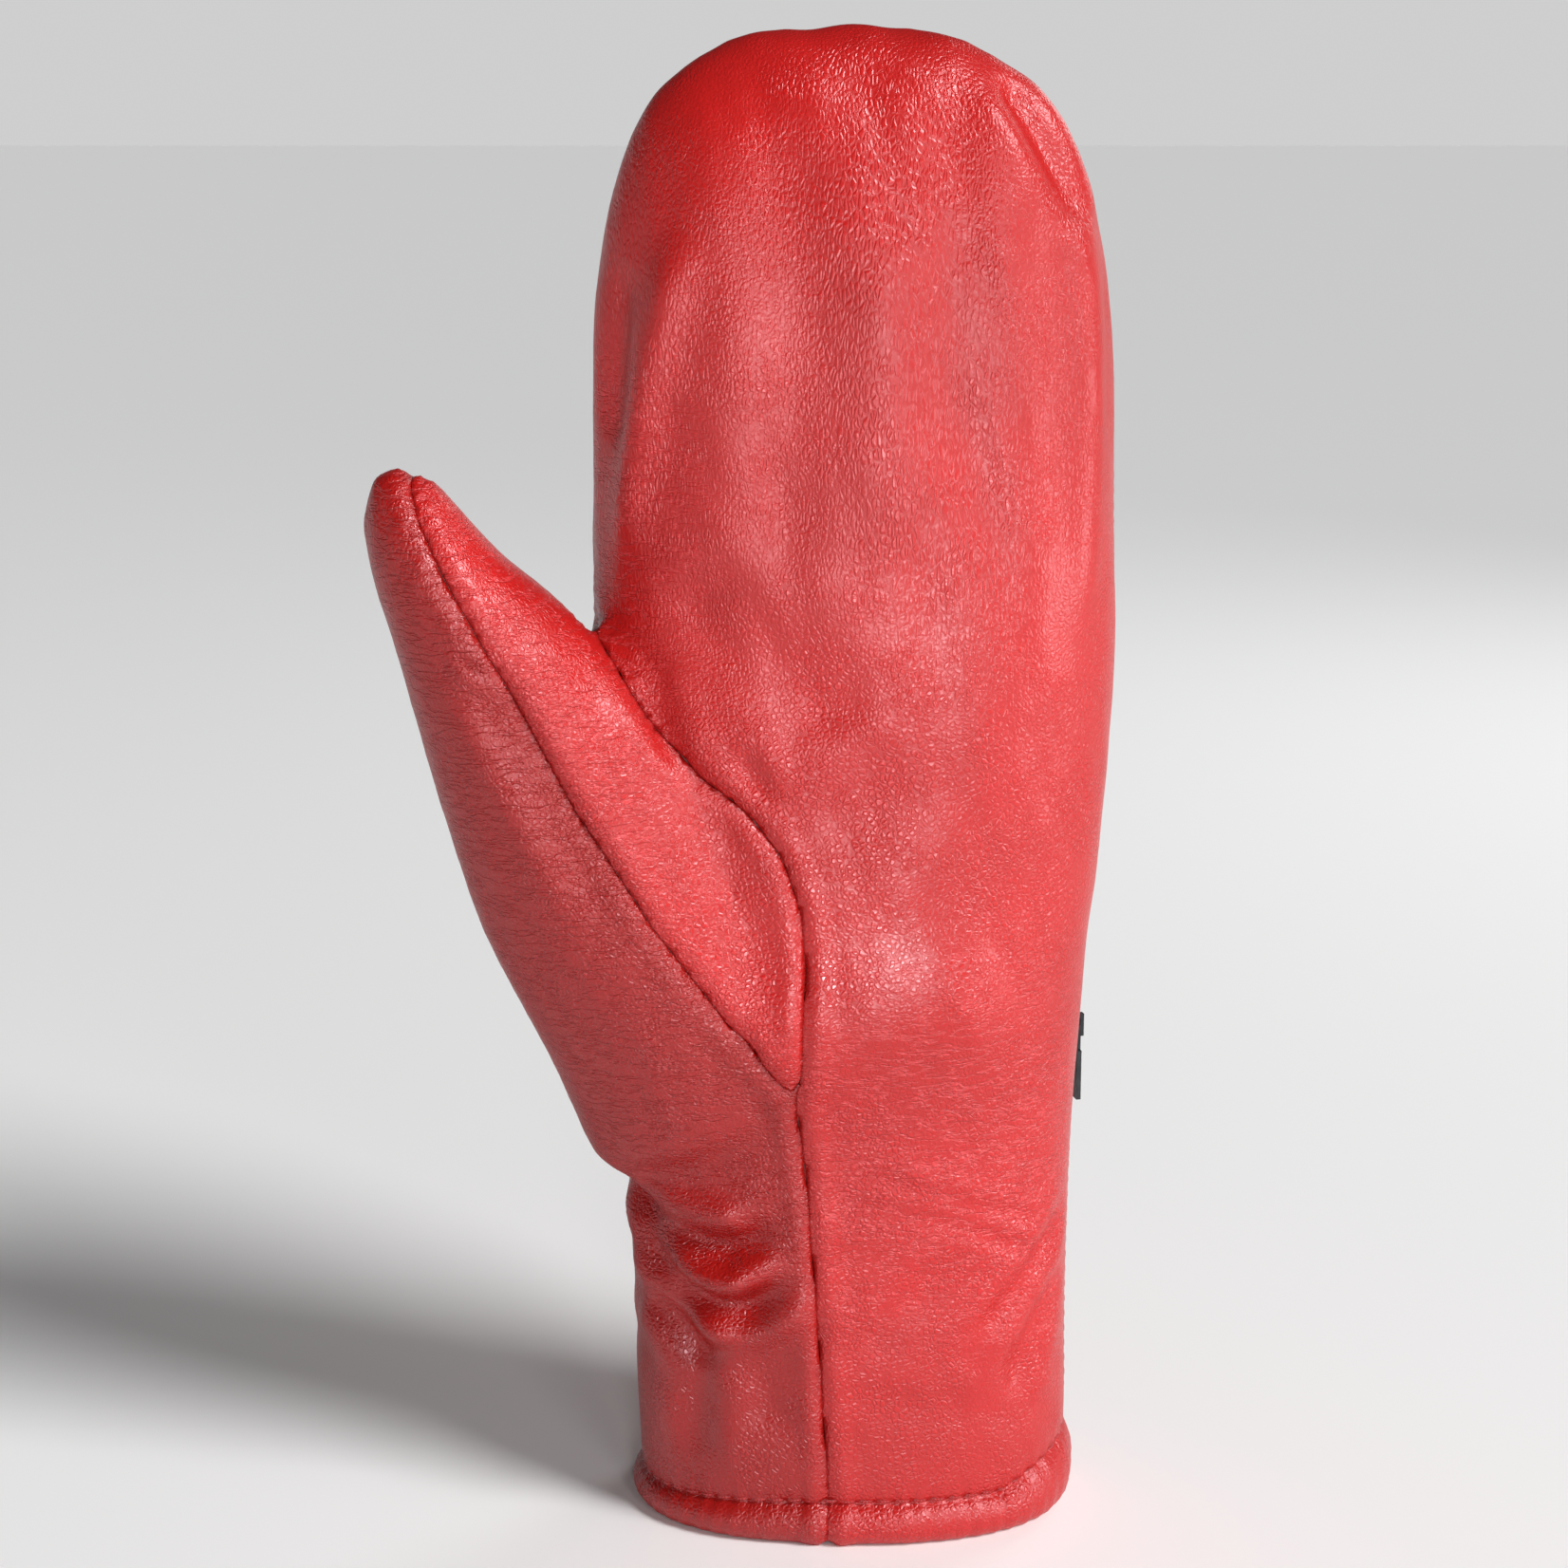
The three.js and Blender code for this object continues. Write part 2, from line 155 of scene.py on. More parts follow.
def nearest(points, route):  # distance to a route and share along it
    best = np.full(len(points), 1e9)
    share = np.zeros(len(points))
    for i in range(len(route) - 1):
        a, ab = route[i], route[i + 1] - route[i]
        t = np.clip(((points - a) @ ab) / max(ab @ ab, 1e-9), 0, 1)
        d = np.linalg.norm(points - (a + t[:, None] * ab), axis=1)
        closer = d < best
        best[closer] = d[closer]
        share[closer] = (i + t[closer]) / (len(route) - 1)
    return best, share


hand = {
    # height, left edge, right edge, depth of the palm, depth of the back
    "stations": np.array([
        (-30, -22.1, 64.9, 28.2, 26.6), (12, -22.5, 64.8, 28.2, 26.6), (48, -23.3, 64.3, 28.0, 26.4),
        (80, -24.3, 64.9, 28.5, 26.2), (110, -26.3, 66.7, 30.0, 26.5), (150, -28.3, 69.9, 30.0, 26.0),
        (190, -29.3, 71.1, 28.5, 24.0), (215, -28.9, 70.1, 28.0, 21.5)], float),
    "middleY": 4.8,
    "domeStart": 215,
    "height": 291,
    "tipX": 18.2,
    "tipForward": 6,
    "domeFullness": 2.8,
    "fullness": 2.3,
}

thumb = {
    # middle of the thumb, half its width across the palm, half its thickness
    "stations": np.array([
        (1, -1.2, 77, 31, 20), (-11.5, -4.2, 107.5, 30, 22), (-26.8, -8.2, 136.5, 28, 20.5),
        (-47, -12.6, 174, 18, 17.5), (-58.4, -15.6, 194.5, 11.9, 13), (-63.3, -16.4, 206.5, 10.6, 11),
        (-64.3, -16.4, 213.5, 10.2, 10)], float),
    "rounding": 0.84,
    "seamY": -4.2,
    # how sharply the thumb's field falls off, and how far and between which heights it drops below the thumb
    "fieldScale": 20,
    "fieldDrop": 28,
    "dropBetween": (112, 88),
}


def handPoints(angle, height, depth=0):
    h = hand
    rise = np.clip((height - h["domeStart"]) / (h["height"] - depth - h["domeStart"]), 0, 1)
    left, right, palm, back = hermite(h["stations"][:, 0], h["stations"][:, 1:],
                                      np.minimum(height, h["domeStart"])).T
    across = (1 - rise ** h["domeFullness"]) ** (1 / h["domeFullness"])
    through = np.sqrt(1 - rise ** 2)
    middle = (left + right) / 2 * (1 - rise ** 2) + h["tipX"] * rise ** 2
    c, s = (np.sign(f) * np.abs(f) ** (2 / h["fullness"]) for f in (np.cos(angle), np.sin(angle)))
    x = middle + ((right - left) / 2 - depth) * across * c
    y = h["middleY"] - h["tipForward"] * rise ** 2 + (np.where(s < 0, palm, back) - depth) * through * s
    return np.stack([x, y, height], 1)


thumbFine = hermite(np.arange(7.0), thumb["stations"], np.linspace(0, 6, 241))
thumbRun = runAlong(thumbFine[:, :3])


def thumbPoints(angle, share, depth):
    reach = 1 - depth / thumbRun[-1]
    spread = share ** 0.85  # rings stand closer towards the tip
    at = spread * reach * thumbRun[-1]
    behind, middle, ahead = (np.stack([np.interp(a, thumbRun, thumbFine[:, k]) for k in range(3)], 1)
                             for a in (at - 1.0, at, at + 1.0))
    along = ahead - behind
    along /= np.linalg.norm(along, axis=1)[:, None]
    across = np.cross([0, 1, 0], along)
    across /= np.linalg.norm(across, axis=1)[:, None]
    through = np.cross(along, across)
    closing = np.clip((spread - thumb["rounding"]) / (1 - thumb["rounding"]), 0, 1)
    size = np.sqrt(1 - closing ** 2) * np.clip(share / 0.03, 0, 1) ** 0.5
    width, deep = (np.interp(at, thumbRun, thumbFine[:, k]) - depth for k in (3, 4))
    return (middle + across * (width * size * np.cos(angle))[:, None]
            + through * (deep * size * np.sin(angle))[:, None])


def handSkin(angle, level, depth):  # level runs from 0, under the cuff, to 1 at the fingertips
    low, straight, start = -14.0, 0.72, hand["domeStart"]
    turn = np.clip((level - straight) / (1 - straight), 0, 1) * math.pi / 2
    height = np.where(level < straight, low + (start - low) * np.clip(level / straight - 0.03, 0, 1),
                      start + (hand["height"] - depth - start) * np.sin(turn))
    points = handPoints(angle, height, depth)
    points[level < 1e-4, :2] = (21, hand["middleY"])
    return points


def makeForm(name, handDepth, thumbDepth, voxel):  # hand and thumb as one closed skin
    bm = bmesh.new()
    balls = [bmesh.ops.create_uvsphere(bm, u_segments=u, v_segments=v, radius=1)["verts"]
             for u, v in ((80, 90), (56, 48))]
    for ball, depth in zip(balls, (handDepth, thumbDepth)):
        unit = np.array([v.co for v in ball])
        angle = np.arctan2(unit[:, 1], unit[:, 0])
        level = 1 - np.arccos(np.clip(unit[:, 2], -1, 1)) / math.pi
        points = thumbPoints(angle, level, depth) if ball is balls[1] else handSkin(angle, level, depth)
        for vertex, point in zip(ball, points):
            vertex.co = Vector(point) * mm
    form = pieceFromBmesh(name, bm)
    remesh = form.modifiers.new("one skin", "REMESH")
    remesh.mode = "VOXEL"
    remesh.voxel_size = voxel * mm
    settle(form)
    relax(form, 3, 0.5)
    return form


def neighbourMean(mesh):  # gives a function that takes a field to the mean round each point
    edges = np.empty(len(mesh.edges) * 2, int)
    mesh.edges.foreach_get("vertices", edges)
    a, b = edges.reshape(-1, 2).T
    size = len(mesh.vertices)
    count = np.maximum(np.bincount(np.r_[a, b], minlength=size), 1)
    return lambda values: (np.bincount(a, values[b], size) + np.bincount(b, values[a], size)) / count


def relax(piece, rounds, factor):  # evens the skin out without shrinking it much
    points, mean = readPoints(piece.data), neighbourMean(piece.data)
    for turn in range(rounds * 2):
        move = np.stack([mean(points[:, k]) for k in range(3)], 1) - points
        points += move * (factor if turn % 2 == 0 else -factor * 1.04)
    writePoints(piece.data, points)


def smoothField(piece, values, rounds):
    mean = neighbourMean(piece.data)
    for _ in range(rounds):
        values = 0.5 * values + 0.5 * mean(values)
    return values


# The seams of the palm side, as places on the skin.
seams = {
    "thumbTop": [(-61.5, -14, 213), (-59.5, -24, 204), (-54, -28, 192), (-44, -29, 174.5), (-31, -29.5, 149),
                 (-17, -27, 127), (-4.5, -25.5, 109.5), (9.4, -25, 92)],
    "thumbRoot": [(-31, -20, 186), (-23.5, -20, 174), (-16, -20, 164), (-7.9, -21.5, 155), (0.9, -23.5, 148),
                  (7, -24.5, 140), (10.6, -25, 130), (12, -24.5, 119), (11.5, -24, 108), (9.4, -25, 92)],
    "cuff": [(9.4, -25, 92), (11.5, -23, 75.7), (13.8, -22.5, 46.6), (15.9, -23.5, 9), (15.6, -23.5, -5)],
    "sideY": 10.3,
}

zipper = {
    "foot": (63.705, 10.793),
    "out": (0.970296, 0.241922),
    "half": 5.0,
    "bottom": 23.0,
    "top": 104.0,
    "corner": 1.5,
}


def zipFlat(points):  # how far a point stands out from the zip's plane, and how far beside its middle
    flat = points[:, :2] - zipper["foot"]
    out = np.array(zipper["out"])
    return flat @ out, flat @ np.array((-out[1], out[0]))


def zipNear(points):  # distance to the edge of the zip's window, positive inside it
    out, beside = zipFlat(points)
    middle, half = (zipper["top"] + zipper["bottom"]) / 2, (zipper["top"] - zipper["bottom"]) / 2
    over = np.abs(np.stack([beside, points[:, 2] - middle], 1)) - (zipper["half"], half) + zipper["corner"]
    near = np.linalg.norm(np.maximum(over, 0), axis=1) + np.minimum(over.max(1), 0) - zipper["corner"]
    return np.where(out > -14, -near, -40.0)


def lineSide(points, line):  # signed distance in the front view, positive to the right of the line
    flat = points[:, [0, 2]]
    best, value = np.full(len(points), 1e9), np.zeros(len(points))
    line = np.array(line, float)
    for i in range(len(line) - 1):
        a, ab = line[i], line[i + 1] - line[i]
        t = np.clip(((flat - a) @ ab) / (ab @ ab), 0, 1)
        away = flat - (a + t[:, None] * ab)
        d = np.linalg.norm(away, axis=1)
        side = np.sign(ab[1] * away[:, 0] - ab[0] * away[:, 1])
        closer = d < best - 1e-6
        best[closer], value[closer] = d[closer], (d * side)[closer]
    return value


def insideOutline(points, outline):  # signed distance in the front view, positive inside
    flat, outline = points[:, [0, 2]], np.array(outline, float)
    best, inside = np.full(len(points), 1e9), np.zeros(len(points), bool)
    for a, b in zip(outline, np.roll(outline, -1, axis=0)):
        t = np.clip(((flat - a) @ (b - a)) / ((b - a) @ (b - a)), 0, 1)
        best = np.minimum(best, np.linalg.norm(flat - (a + t[:, None] * (b - a)), axis=1))
        crosses = (a[1] > flat[:, 1]) != (b[1] > flat[:, 1])
        with np.errstate(divide="ignore", invalid="ignore"):
            at = (b[0] - a[0]) * (flat[:, 1] - a[1]) / (b[1] - a[1]) + a[0]
        inside ^= crosses & (flat[:, 0] < at)
    return np.where(inside, best, -best)


def thumbField(points, depth):  # positive where the skin is the thumb's rather than the hand's
    middle, size = thumbFine[::3, :3], thumbFine[::3, 3:] - depth
    apart = ((points[:, None, :] - middle[None]) ** 2).sum(2)
    i = apart.argmin(1)
    thumbNear = np.sqrt(apart[np.arange(len(points)), i]) / size[i].mean(1)
    left, right, palm, back = hermite(hand["stations"][:, 0], hand["stations"][:, 1:],
                                      np.clip(points[:, 2], -30, hand["domeStart"])).T
    x = (points[:, 0] - (left + right) / 2) / ((right - left) / 2 - depth)
    y = points[:, 1] - hand["middleY"]
    y /= np.where(y < 0, palm, back) - depth
    handNear = (np.abs(x) ** hand["fullness"] + np.abs(y) ** hand["fullness"]) ** (1 / hand["fullness"])
    field = (handNear - thumbNear) * thumb["fieldScale"]
    return field - thumb["fieldDrop"] * smoothStep(*thumb["dropBetween"], points[:, 2])


def flatLine(route, start=0):
    return [(p[0], p[2]) for p in route[start:]]


def panelFields(points):
    top = lineSide(points, [(9.4 + 200, 92 - 240)] + flatLine(seams["thumbTop"])[::-1] + [(-70, 260)])
    root = insideOutline(points, flatLine(seams["thumbTop"], 4) + flatLine(seams["thumbRoot"])[::-1][1:])
    root = np.minimum(root, -points[:, 1])
    both = thumbField(points, 0)
    onThumb = (both + root + np.sqrt((both - root) ** 2 + 25 * (points[:, 1] < 0))) / 2
    onThumb -= 2.5 * np.exp(-((both - root) / 9) ** 2) * (points[:, 1] < 0)
    thumbPalm = np.minimum.reduce([top, thumb["seamY"] - points[:, 1], onThumb])
    beside = lineSide(points, flatLine(seams["cuff"])[::-1] + [(-16.8, 127), (-37.3, 150), (-37.3, 400)])
    palm = np.minimum.reduce([beside, seams["sideY"] - points[:, 1], -onThumb])
    return thumbPalm, palm


# The skin is cut smoothly wherever a field on its points is zero.
def cutAlong(bm, layer):
    crossing = [e for e in bm.edges if (e.verts[0][layer] > 0) != (e.verts[1][layer] > 0)]
    for edge in crossing:  # points close to the line are moved onto it
        a, b = edge.verts
        if a[layer] == 0 or b[layer] == 0:
            continue
        t = a[layer] / (a[layer] - b[layer])
        if t < 0.15:
            a.co, a[layer] = a.co.lerp(b.co, t), 0
        elif t > 0.85:
            b.co, b[layer] = a.co.lerp(b.co, t), 0
    new = [v for v in bm.verts if v[layer] == 0]
    for edge in [e for e in bm.edges if e.verts[0][layer] * e.verts[1][layer] < 0]:
        a, b = edge.verts
        t = a[layer] / (a[layer] - b[layer])
        made = bmesh.utils.edge_split(edge, a, t)[1]
        made[layer] = 0
        new.append(made)
    bmesh.ops.connect_verts(bm, verts=new)


def part(source, name, layerName, positive):  # one side of a field, as a piece of its own
    bm = bmesh.new()
    bm.from_mesh(source.data)
    layer = bm.verts.layers.float[layerName]
    cutAlong(bm, layer)
    sign = 1 if positive else -1
    away = [f for f in bm.faces if sum(v[layer] for v in f.verts) * sign <= 0]
    bmesh.ops.delete(bm, geom=away, context="FACES")
    return pieceFromBmesh(name, bm)


def removePieces(*pieces):
    for piece in pieces:
        bpy.data.objects.remove(piece)


def setField(piece, name, values):
    field = piece.data.attributes.get(name) or piece.data.attributes.new(name, "FLOAT", "POINT")
    field.data.foreach_set("value", values.astype(np.float32))


def getField(piece, name):
    values = np.empty(len(piece.data.vertices), np.float32)
    piece.data.attributes[name].data.foreach_get("value", values)
    return values.astype(float)


# The filling pushes the skin out between its seams, which hold it.
filling = {
    "voxel": 2.5,
    "pressure": 3.0,
    "frames": 20,
    "growth": -0.012,
    "mostMove": 2.6,
    "calm": 30,
}


def puffUp(piece):
    mesh = piece.data
    before = readPoints(mesh)
    thumbPalm, palm = panelFields(before)
    seamNear = np.minimum(np.abs(thumbPalm), np.abs(palm))
    held = np.maximum(1 - smoothStep(8, 40, before[:, 2]), 0.85 * (1 - smoothStep(1.5, 5, seamNear)))
    held = np.maximum(held, 0.12 + 0.85 * smoothStep(-14, -3, zipNear(before)))
    group = piece.vertex_groups.new(name="held")
    for index, weight in enumerate(held):
        group.add([index], float(weight), "REPLACE")
    cloth = piece.modifiers.new("filling", "CLOTH")
    s = cloth.settings
    s.quality, s.mass, s.air_damping = 5, 0.25, 2
    s.tension_stiffness = s.compression_stiffness = 18
    s.shear_stiffness, s.bending_stiffness = 6, 0.8
    s.use_pressure, s.uniform_pressure_force = True, filling["pressure"]
    s.shrink_min, s.vertex_group_mass, s.pin_stiffness = filling["growth"], "held", 1
    s.effector_weights.gravity = 0
    cloth.collision_settings.use_collision = False
    scene = bpy.context.scene
    for step in range(1, filling["frames"] + 1):
        scene.frame_set(step)
    settle(piece)
    scene.frame_set(1)
    move = readPoints(piece.data) - before
    for axis in range(3):  # the long swell stays, the small wrinkles go
        move[:, axis] = smoothField(piece, move[:, axis], filling["calm"])
    far = np.linalg.norm(move, axis=1)[:, None]
    writePoints(piece.data, before + move * np.minimum(1, filling["mostMove"] / np.maximum(far, 1e-6)))


skin = makeForm("skin", 0.4, 0.4, filling["voxel"])
print("form made:", len(skin.data.polygons), "faces")
puffUp(skin)
relax(skin, 1, 0.4)
print("filling settled")
finer = skin.modifiers.new("finer", "SUBSURF")
finer.levels = finer.render_levels = 1
settle(skin)

# Folds, creases and soft rises that wear has left in the leather. Each has a route over the skin.
folds = [
    # route, depth (positive is a valley), width, rise of its shoulders
    ("thumb tuck", [(-52.5, -28, 181), (-49.5, -29, 177), (-46.5, -29, 174.5)], 1.1, 1.1, 0.5),
    ("beside the thumb's seam", [(-50, -28, 178), (-45, -29, 170), (-38, -29, 157), (-31, -28, 143), (-25, -27, 128)],
     1.5, 4.2, 0.35),
    ("first wrist fold", [(-22.5, 0, 72), (-21, -8, 66), (-12, -17, 61.5), (-2, -22, 61.5), (6, -23.5, 67)],
     3.5, 3.4, 0.7),
    ("second wrist fold", [(-21.5, -4, 62), (-16, -14, 55), (-7, -19, 49.5), (1, -21.5, 50), (8, -23, 58)],
     3.2, 3.2, 0.75),
    ("third wrist fold", [(-20, -9, 50), (-13, -16, 42), (-5, -20, 36)], 1.8, 3.4, 0.5),
    ("wrist hollow", [(-6, -20, 46), (1, -22, 38), (3, -23, 22)], 1.4, 7, 0.1),
    ("left edge fold", [(-16, -13, 54), (-12, -17, 40), (-11, -18, 26), (-12, -17, 13)], 2.1, 4.4, 0.4),
    ("palm crease", [(21, -25, 78), (36, -24, 72.5), (54, -17, 66), (60, -10, 64)], 0.98, 1.8, 0.5),
    ("palm crease below", [(30, -24, 70), (44, -21, 65), (57, -14, 58)], 0.77, 1.8, 0.4),
    ("right wrist fold", [(63, -3, 66), (58, -11, 58), (51, -18, 48), (44, -21, 40)], 1.5, 3.0, 0.6),
    ("right wrist fold below", [(62, -6, 54), (57, -13, 43), (52, -18, 26)], 1.4, 4.0, 0.4),
    ("middle wrist fold", [(40, -23, 60), (30, -24, 48), (21, -24, 40)], 0.7, 4.0, 0.3),
    ("left finger ridge", [(-10, -17, 258), (-15.5, -18, 240), (-20.5, -15, 218), (-24, -11, 192)], -2.4, 4.5, 0),
    ("beside the left ridge", [(-21, -9, 250), (-24, -9, 232), (-26, -7, 212)], 2, 4.0, 0.2),
    ("right finger ridge", [(56, -6, 272), (62.5, -11, 246), (64, -13, 210), (62, -15, 176)], -2, 5.0, 0),
    ("fingertip crease", [(46, -8, 284), (52, -9, 274), (57.5, -9, 263), (60, -8, 252)], 2.2, 3.6, 0.4),
    ("first finger hollow", [(6, -14, 282), (10, -22, 250), (9, -25, 212), (8, -26, 186)], 1.8, 9, 0.15),
    ("second finger hollow", [(20, -9, 288), (25, -17, 270), (29, -21, 248)], 1, 5, 0.3),
    ("third finger hollow", [(31, -9, 286), (36, -18, 262), (38, -23, 225), (46, -22, 194)], 1.7, 6, 0.3),
    ("palm rise", [(54, -18, 214), (50, -21, 178), (40, -26, 150), (22, -29, 128)], -1.8, 12, 0),
    ("index hollow", [(-14, -22, 196), (-6, -24, 182), (10, -26, 172), (20, -27, 160)], 2.4, 11, 0),
    ("thumb top crease", [(-19, -18, 176), (-16, -19, 166), (-11, -21, 156)], 0.9, 2.6, 0.5),
    ("palm swell", [(-8, -26, 103), (6, -27, 105), (18, -28, 106), (34, -28, 110), (52, -24, 117)], -4.0, 14, 0),
    ("below the fingers", [(-14, -23, 153), (0, -24, 150), (16, -26, 148), (34, -26, 150), (50, -23, 155)],
     1.5, 13, 0),
    ("thumb root pull", [(-2, -23, 160), (4, -24, 150)], 0.6, 2.4, 0.3),
]


def foldShape(points, route, depth, width, shoulder):
    d, share = nearest(points, curveThrough(route))
    fade = smoothStep(0, 0.22, share) * (1 - smoothStep(0.78, 1, share))
    shape = np.exp(-(d / width) ** 2) - shoulder * np.exp(-((d - 1.9 * width) / (1.1 * width)) ** 2)
    return -depth * shape * (0.15 + 0.85 * fade) * (d < 5 * width)


def waves(points, seed, lengths, tilt=0.35):  # a soft seeded ripple, long one way and short the other
    rng = np.random.default_rng(seed)
    total = np.zeros(len(points))
    for turn in range(7):
        k = 2 * math.pi / (np.array(lengths) * rng.uniform(0.7, 1.5, 3))
        k *= np.array([1, rng.uniform(-1, 1), rng.uniform(-tilt, tilt) + 1])
        total += np.sin(points @ k + rng.uniform(0, 2 * math.pi))
    return total / 7


ripples = [
    # height, seed, lengths each way, and the heights between which it fades in and out
    (0.5, 3, (17, 30, 120), (150, 200), None),
    (0.35, 5, (46, 46, 60), None, None),
    (0.38, 8, (60, 40, 13), (88, 60), (12, 26)),
    (0.16, 11, (9, 12, 21), None, None),
]


def sculpt(piece):
    mesh = piece.data
    points, normals = readPoints(mesh), readNormals(mesh)
    rise = np.zeros(len(points))
    for name, *fold in folds:
        rise += foldShape(points, *fold)
    for height, seed, lengths, *fades in ripples:
        share = math.prod(smoothStep(*fade, points[:, 2]) for fade in fades if fade)
        rise += height * share * waves(points, seed, lengths)
    window = zipNear(points)
    rise *= 1 - 0.9 * smoothStep(-16, -5, window)
    rise -= 0.35 * np.exp(-((window + 2.3) / 0.9) ** 2)
    writePoints(mesh, points + normals * rise[:, None])


sculpt(skin)
print("folds worked in")


# The cuff's edge is turned under: a soft roll below a line of stitches, which climbs towards the zip side.
hem = {
    "lineX": [-23, -12, 12, 50, 59, 65],
    "lineZ": [6.6, 7.4, 9.0, 8.8, 12.5, 15.5],
    # each ring of the roll: how far it stands out, and its share of the line's height
    "rings": [(-0.55, 0.985), (-0.45, 0.93), (0.45, 0.88), (1.2, 0.76), (1.75, 0.62), (2.0, 0.46), (1.85, 0.3),
              (1.2, 0.14), (0.2, 0.04), (-1.0, 0.0), (-1.9, 0.05), (-2.4, 0.25), (-2.5, 0.6), (-2.5, 0.9)],
    "pitch": 3.7,
    "pucker": 0.6,
    "middle": (21.1, 4.8),
    "reach": (43.4, 27.4),
    "radius": 36,  # millimetres of cloth for each radian round the cuff
    "firstPull": 0.35,
}


def hemHeight(x):
    return np.interp(x, hem["lineX"], hem["lineZ"])


ringAngle = np.linspace(-math.pi, math.pi, 361)
ringGuess = handPoints(ringAngle, np.full(361, 9.0))
ringRun = runAlong(ringGuess[:, :2])
ringStitches = round(ringRun[-1] / hem["pitch"])


def ringTurn(points):  # the direction of a point from the cuff's middle
    across, through = ((points[:, :2] - hem["middle"]) / hem["reach"]).T
    return np.arctan2(through, across)


ringTurns = ringTurn(ringGuess)
ringTurns[0], ringTurns[-1] = -math.pi, math.pi


def ringPhase(points):  # how many stitches round the cuff a point lies
    return np.interp(ringTurn(points), ringTurns, ringRun) / ringRun[-1] * ringStitches


def outwards(points):
    away = (points[:, :2] - hem["middle"]) / np.square(hem["reach"])
    return away / np.linalg.norm(away, axis=1)[:, None]


def puckered(phase):  # 1 at each stitch's hole, 0 between the holes
    return 0.5 + 0.5 * np.cos(2 * math.pi * phase)


def turnHem(source):
    points = readPoints(source.data)
    drop = points[:, 2] - hemHeight(points[:, 0])
    near = np.exp(-np.clip(drop, 0, 50) / 1.6) * (drop > -3)
    pull = near * (hem["firstPull"] + hem["pucker"] * puckered(ringPhase(points)))
    flat = outwards(points)
    points[:, :2] -= flat * pull[:, None]
    writePoints(source.data, points)
    setField(source, "aboveHem", drop)
    body = part(source, "above the hem", "aboveHem", True)
    bm = bmesh.new()
    bm.from_mesh(body.data)
    removePieces(source, body)
    edges = [e for e in bm.edges if e.is_boundary]
    start = {v: v for e in edges for v in e.verts}
    base = np.array([v.co for v in start]) / mm
    out, phase = outwards(base), ringPhase(base)
    swell = 1 + 0.14 * waves(base, 21, (26, 26, 400))
    home = {v: i for i, v in enumerate(start)}
    for stand, share in hem["rings"]:
        made = bmesh.ops.extrude_edge_only(bm, edges=edges)["geom"]
        edges = [e for e in made if isinstance(e, bmesh.types.BMEdge) and all(v not in home for v in e.verts)]
        fresh = {}
        for v in (g for g in made if isinstance(g, bmesh.types.BMVert)):
            i = next(home[e.other_vert(v)] for e in v.link_edges if e.other_vert(v) in home)
            ease = hem["pucker"] * (1 - smoothStep(0.6, 0.97, share)) * puckered(phase[i])
            place = base[i, :2] + out[i] * ((stand * swell[i] if stand > 0 else stand) + ease)
            v.co = Vector((place[0], place[1], base[i, 2] * share)) * mm
            fresh[v] = i
        home = fresh
    bmesh.ops.recalc_face_normals(bm, faces=bm.faces)
    return pieceFromBmesh("skin", bm)


skin = turnHem(skin)
print("hem turned:", len(skin.data.polygons), "faces")

seamLook = {
    "depth": 0.55,
    "width": 0.8,
    "shoulder": 0.45,
    "shoulderAt": 3.0,
    "shoulderWidth": 1.9,
    "stitch": 3.1,
    "pucker": 0.22,
    "puckerAt": 1.6,
    "puckerWidth": 1.5,
    "lip": 0.15,
}


def drawSeams(piece):
    points, normals = readPoints(piece.data), readNormals(piece.data)
    thumbPalm, palm = panelFields(points)
    roll = points[:, 2] > hemHeight(points[:, 0]) + 0.5
    thumbPalm, palm = (np.where(roll, smoothField(piece, f, 6), f) for f in (thumbPalm, palm))
    near = np.minimum(np.abs(thumbPalm), np.abs(palm))
    look = seamLook
    phase = (points[:, 2] - 0.6 * points[:, 0]) / look["stitch"]
    groove = -look["depth"] * np.exp(-(near / look["width"]) ** 2)
    groove += look["shoulder"] * np.exp(-((near - look["shoulderAt"]) / look["shoulderWidth"]) ** 2)
    groove -= look["pucker"] * np.exp(-((near - look["puckerAt"]) / look["puckerWidth"]) ** 2) \
        * np.cos(2 * math.pi * phase)
    inner = (points[:, 2] < hemHeight(points[:, 0])) & (np.abs(normals[:, 2]) < 0.6) & \
        ((normals[:, :2] * outwards(points)).sum(1) < 0)
    groove[inner] = 0
    writePoints(piece.data, points + normals * groove[:, None])
    setField(piece, "thumbPalm", thumbPalm)
    setField(piece, "palm", palm)


def turnEdges(piece, fields, tuck=1.5, draw=0.0):  # the cut edges bend down into the seam
    bm = bmesh.new()
    bm.from_mesh(piece.data)
    layers = [bm.verts.layers.float[f] for f in fields]
    onSeam = {v for v in bm.verts if v.is_boundary and any(abs(v[layer]) < 1e-6 for layer in layers)}
    edges = [e for e in bm.edges if e.is_boundary and all(v in onSeam for v in e.verts)]
    aside, inward = {}, {}
    for v in onSeam:
        middle = sum((f.calc_center_median() for f in v.link_faces), Vector()) / max(1, len(v.link_faces))
        aside[v] = (middle - v.co).normalized() * mm
        inward[v] = -v.normal.copy() * mm
    made = bmesh.ops.extrude_edge_only(bm, edges=edges)["geom"]
    for v in (g for g in made if isinstance(g, bmesh.types.BMVert)):
        old = next((e.other_vert(v) for e in v.link_edges if e.other_vert(v) in aside), None)
        if old is not None:
            v.co = old.co + inward[old] * tuck + aside[old] * draw
    for v in onSeam:
        v.co += aside[v] * draw + inward[v] * seamLook["lip"]
    bmesh.ops.recalc_face_normals(bm, faces=bm.faces)
    bm.to_mesh(piece.data)
    bm.free()
    smoothFaces(piece.data)


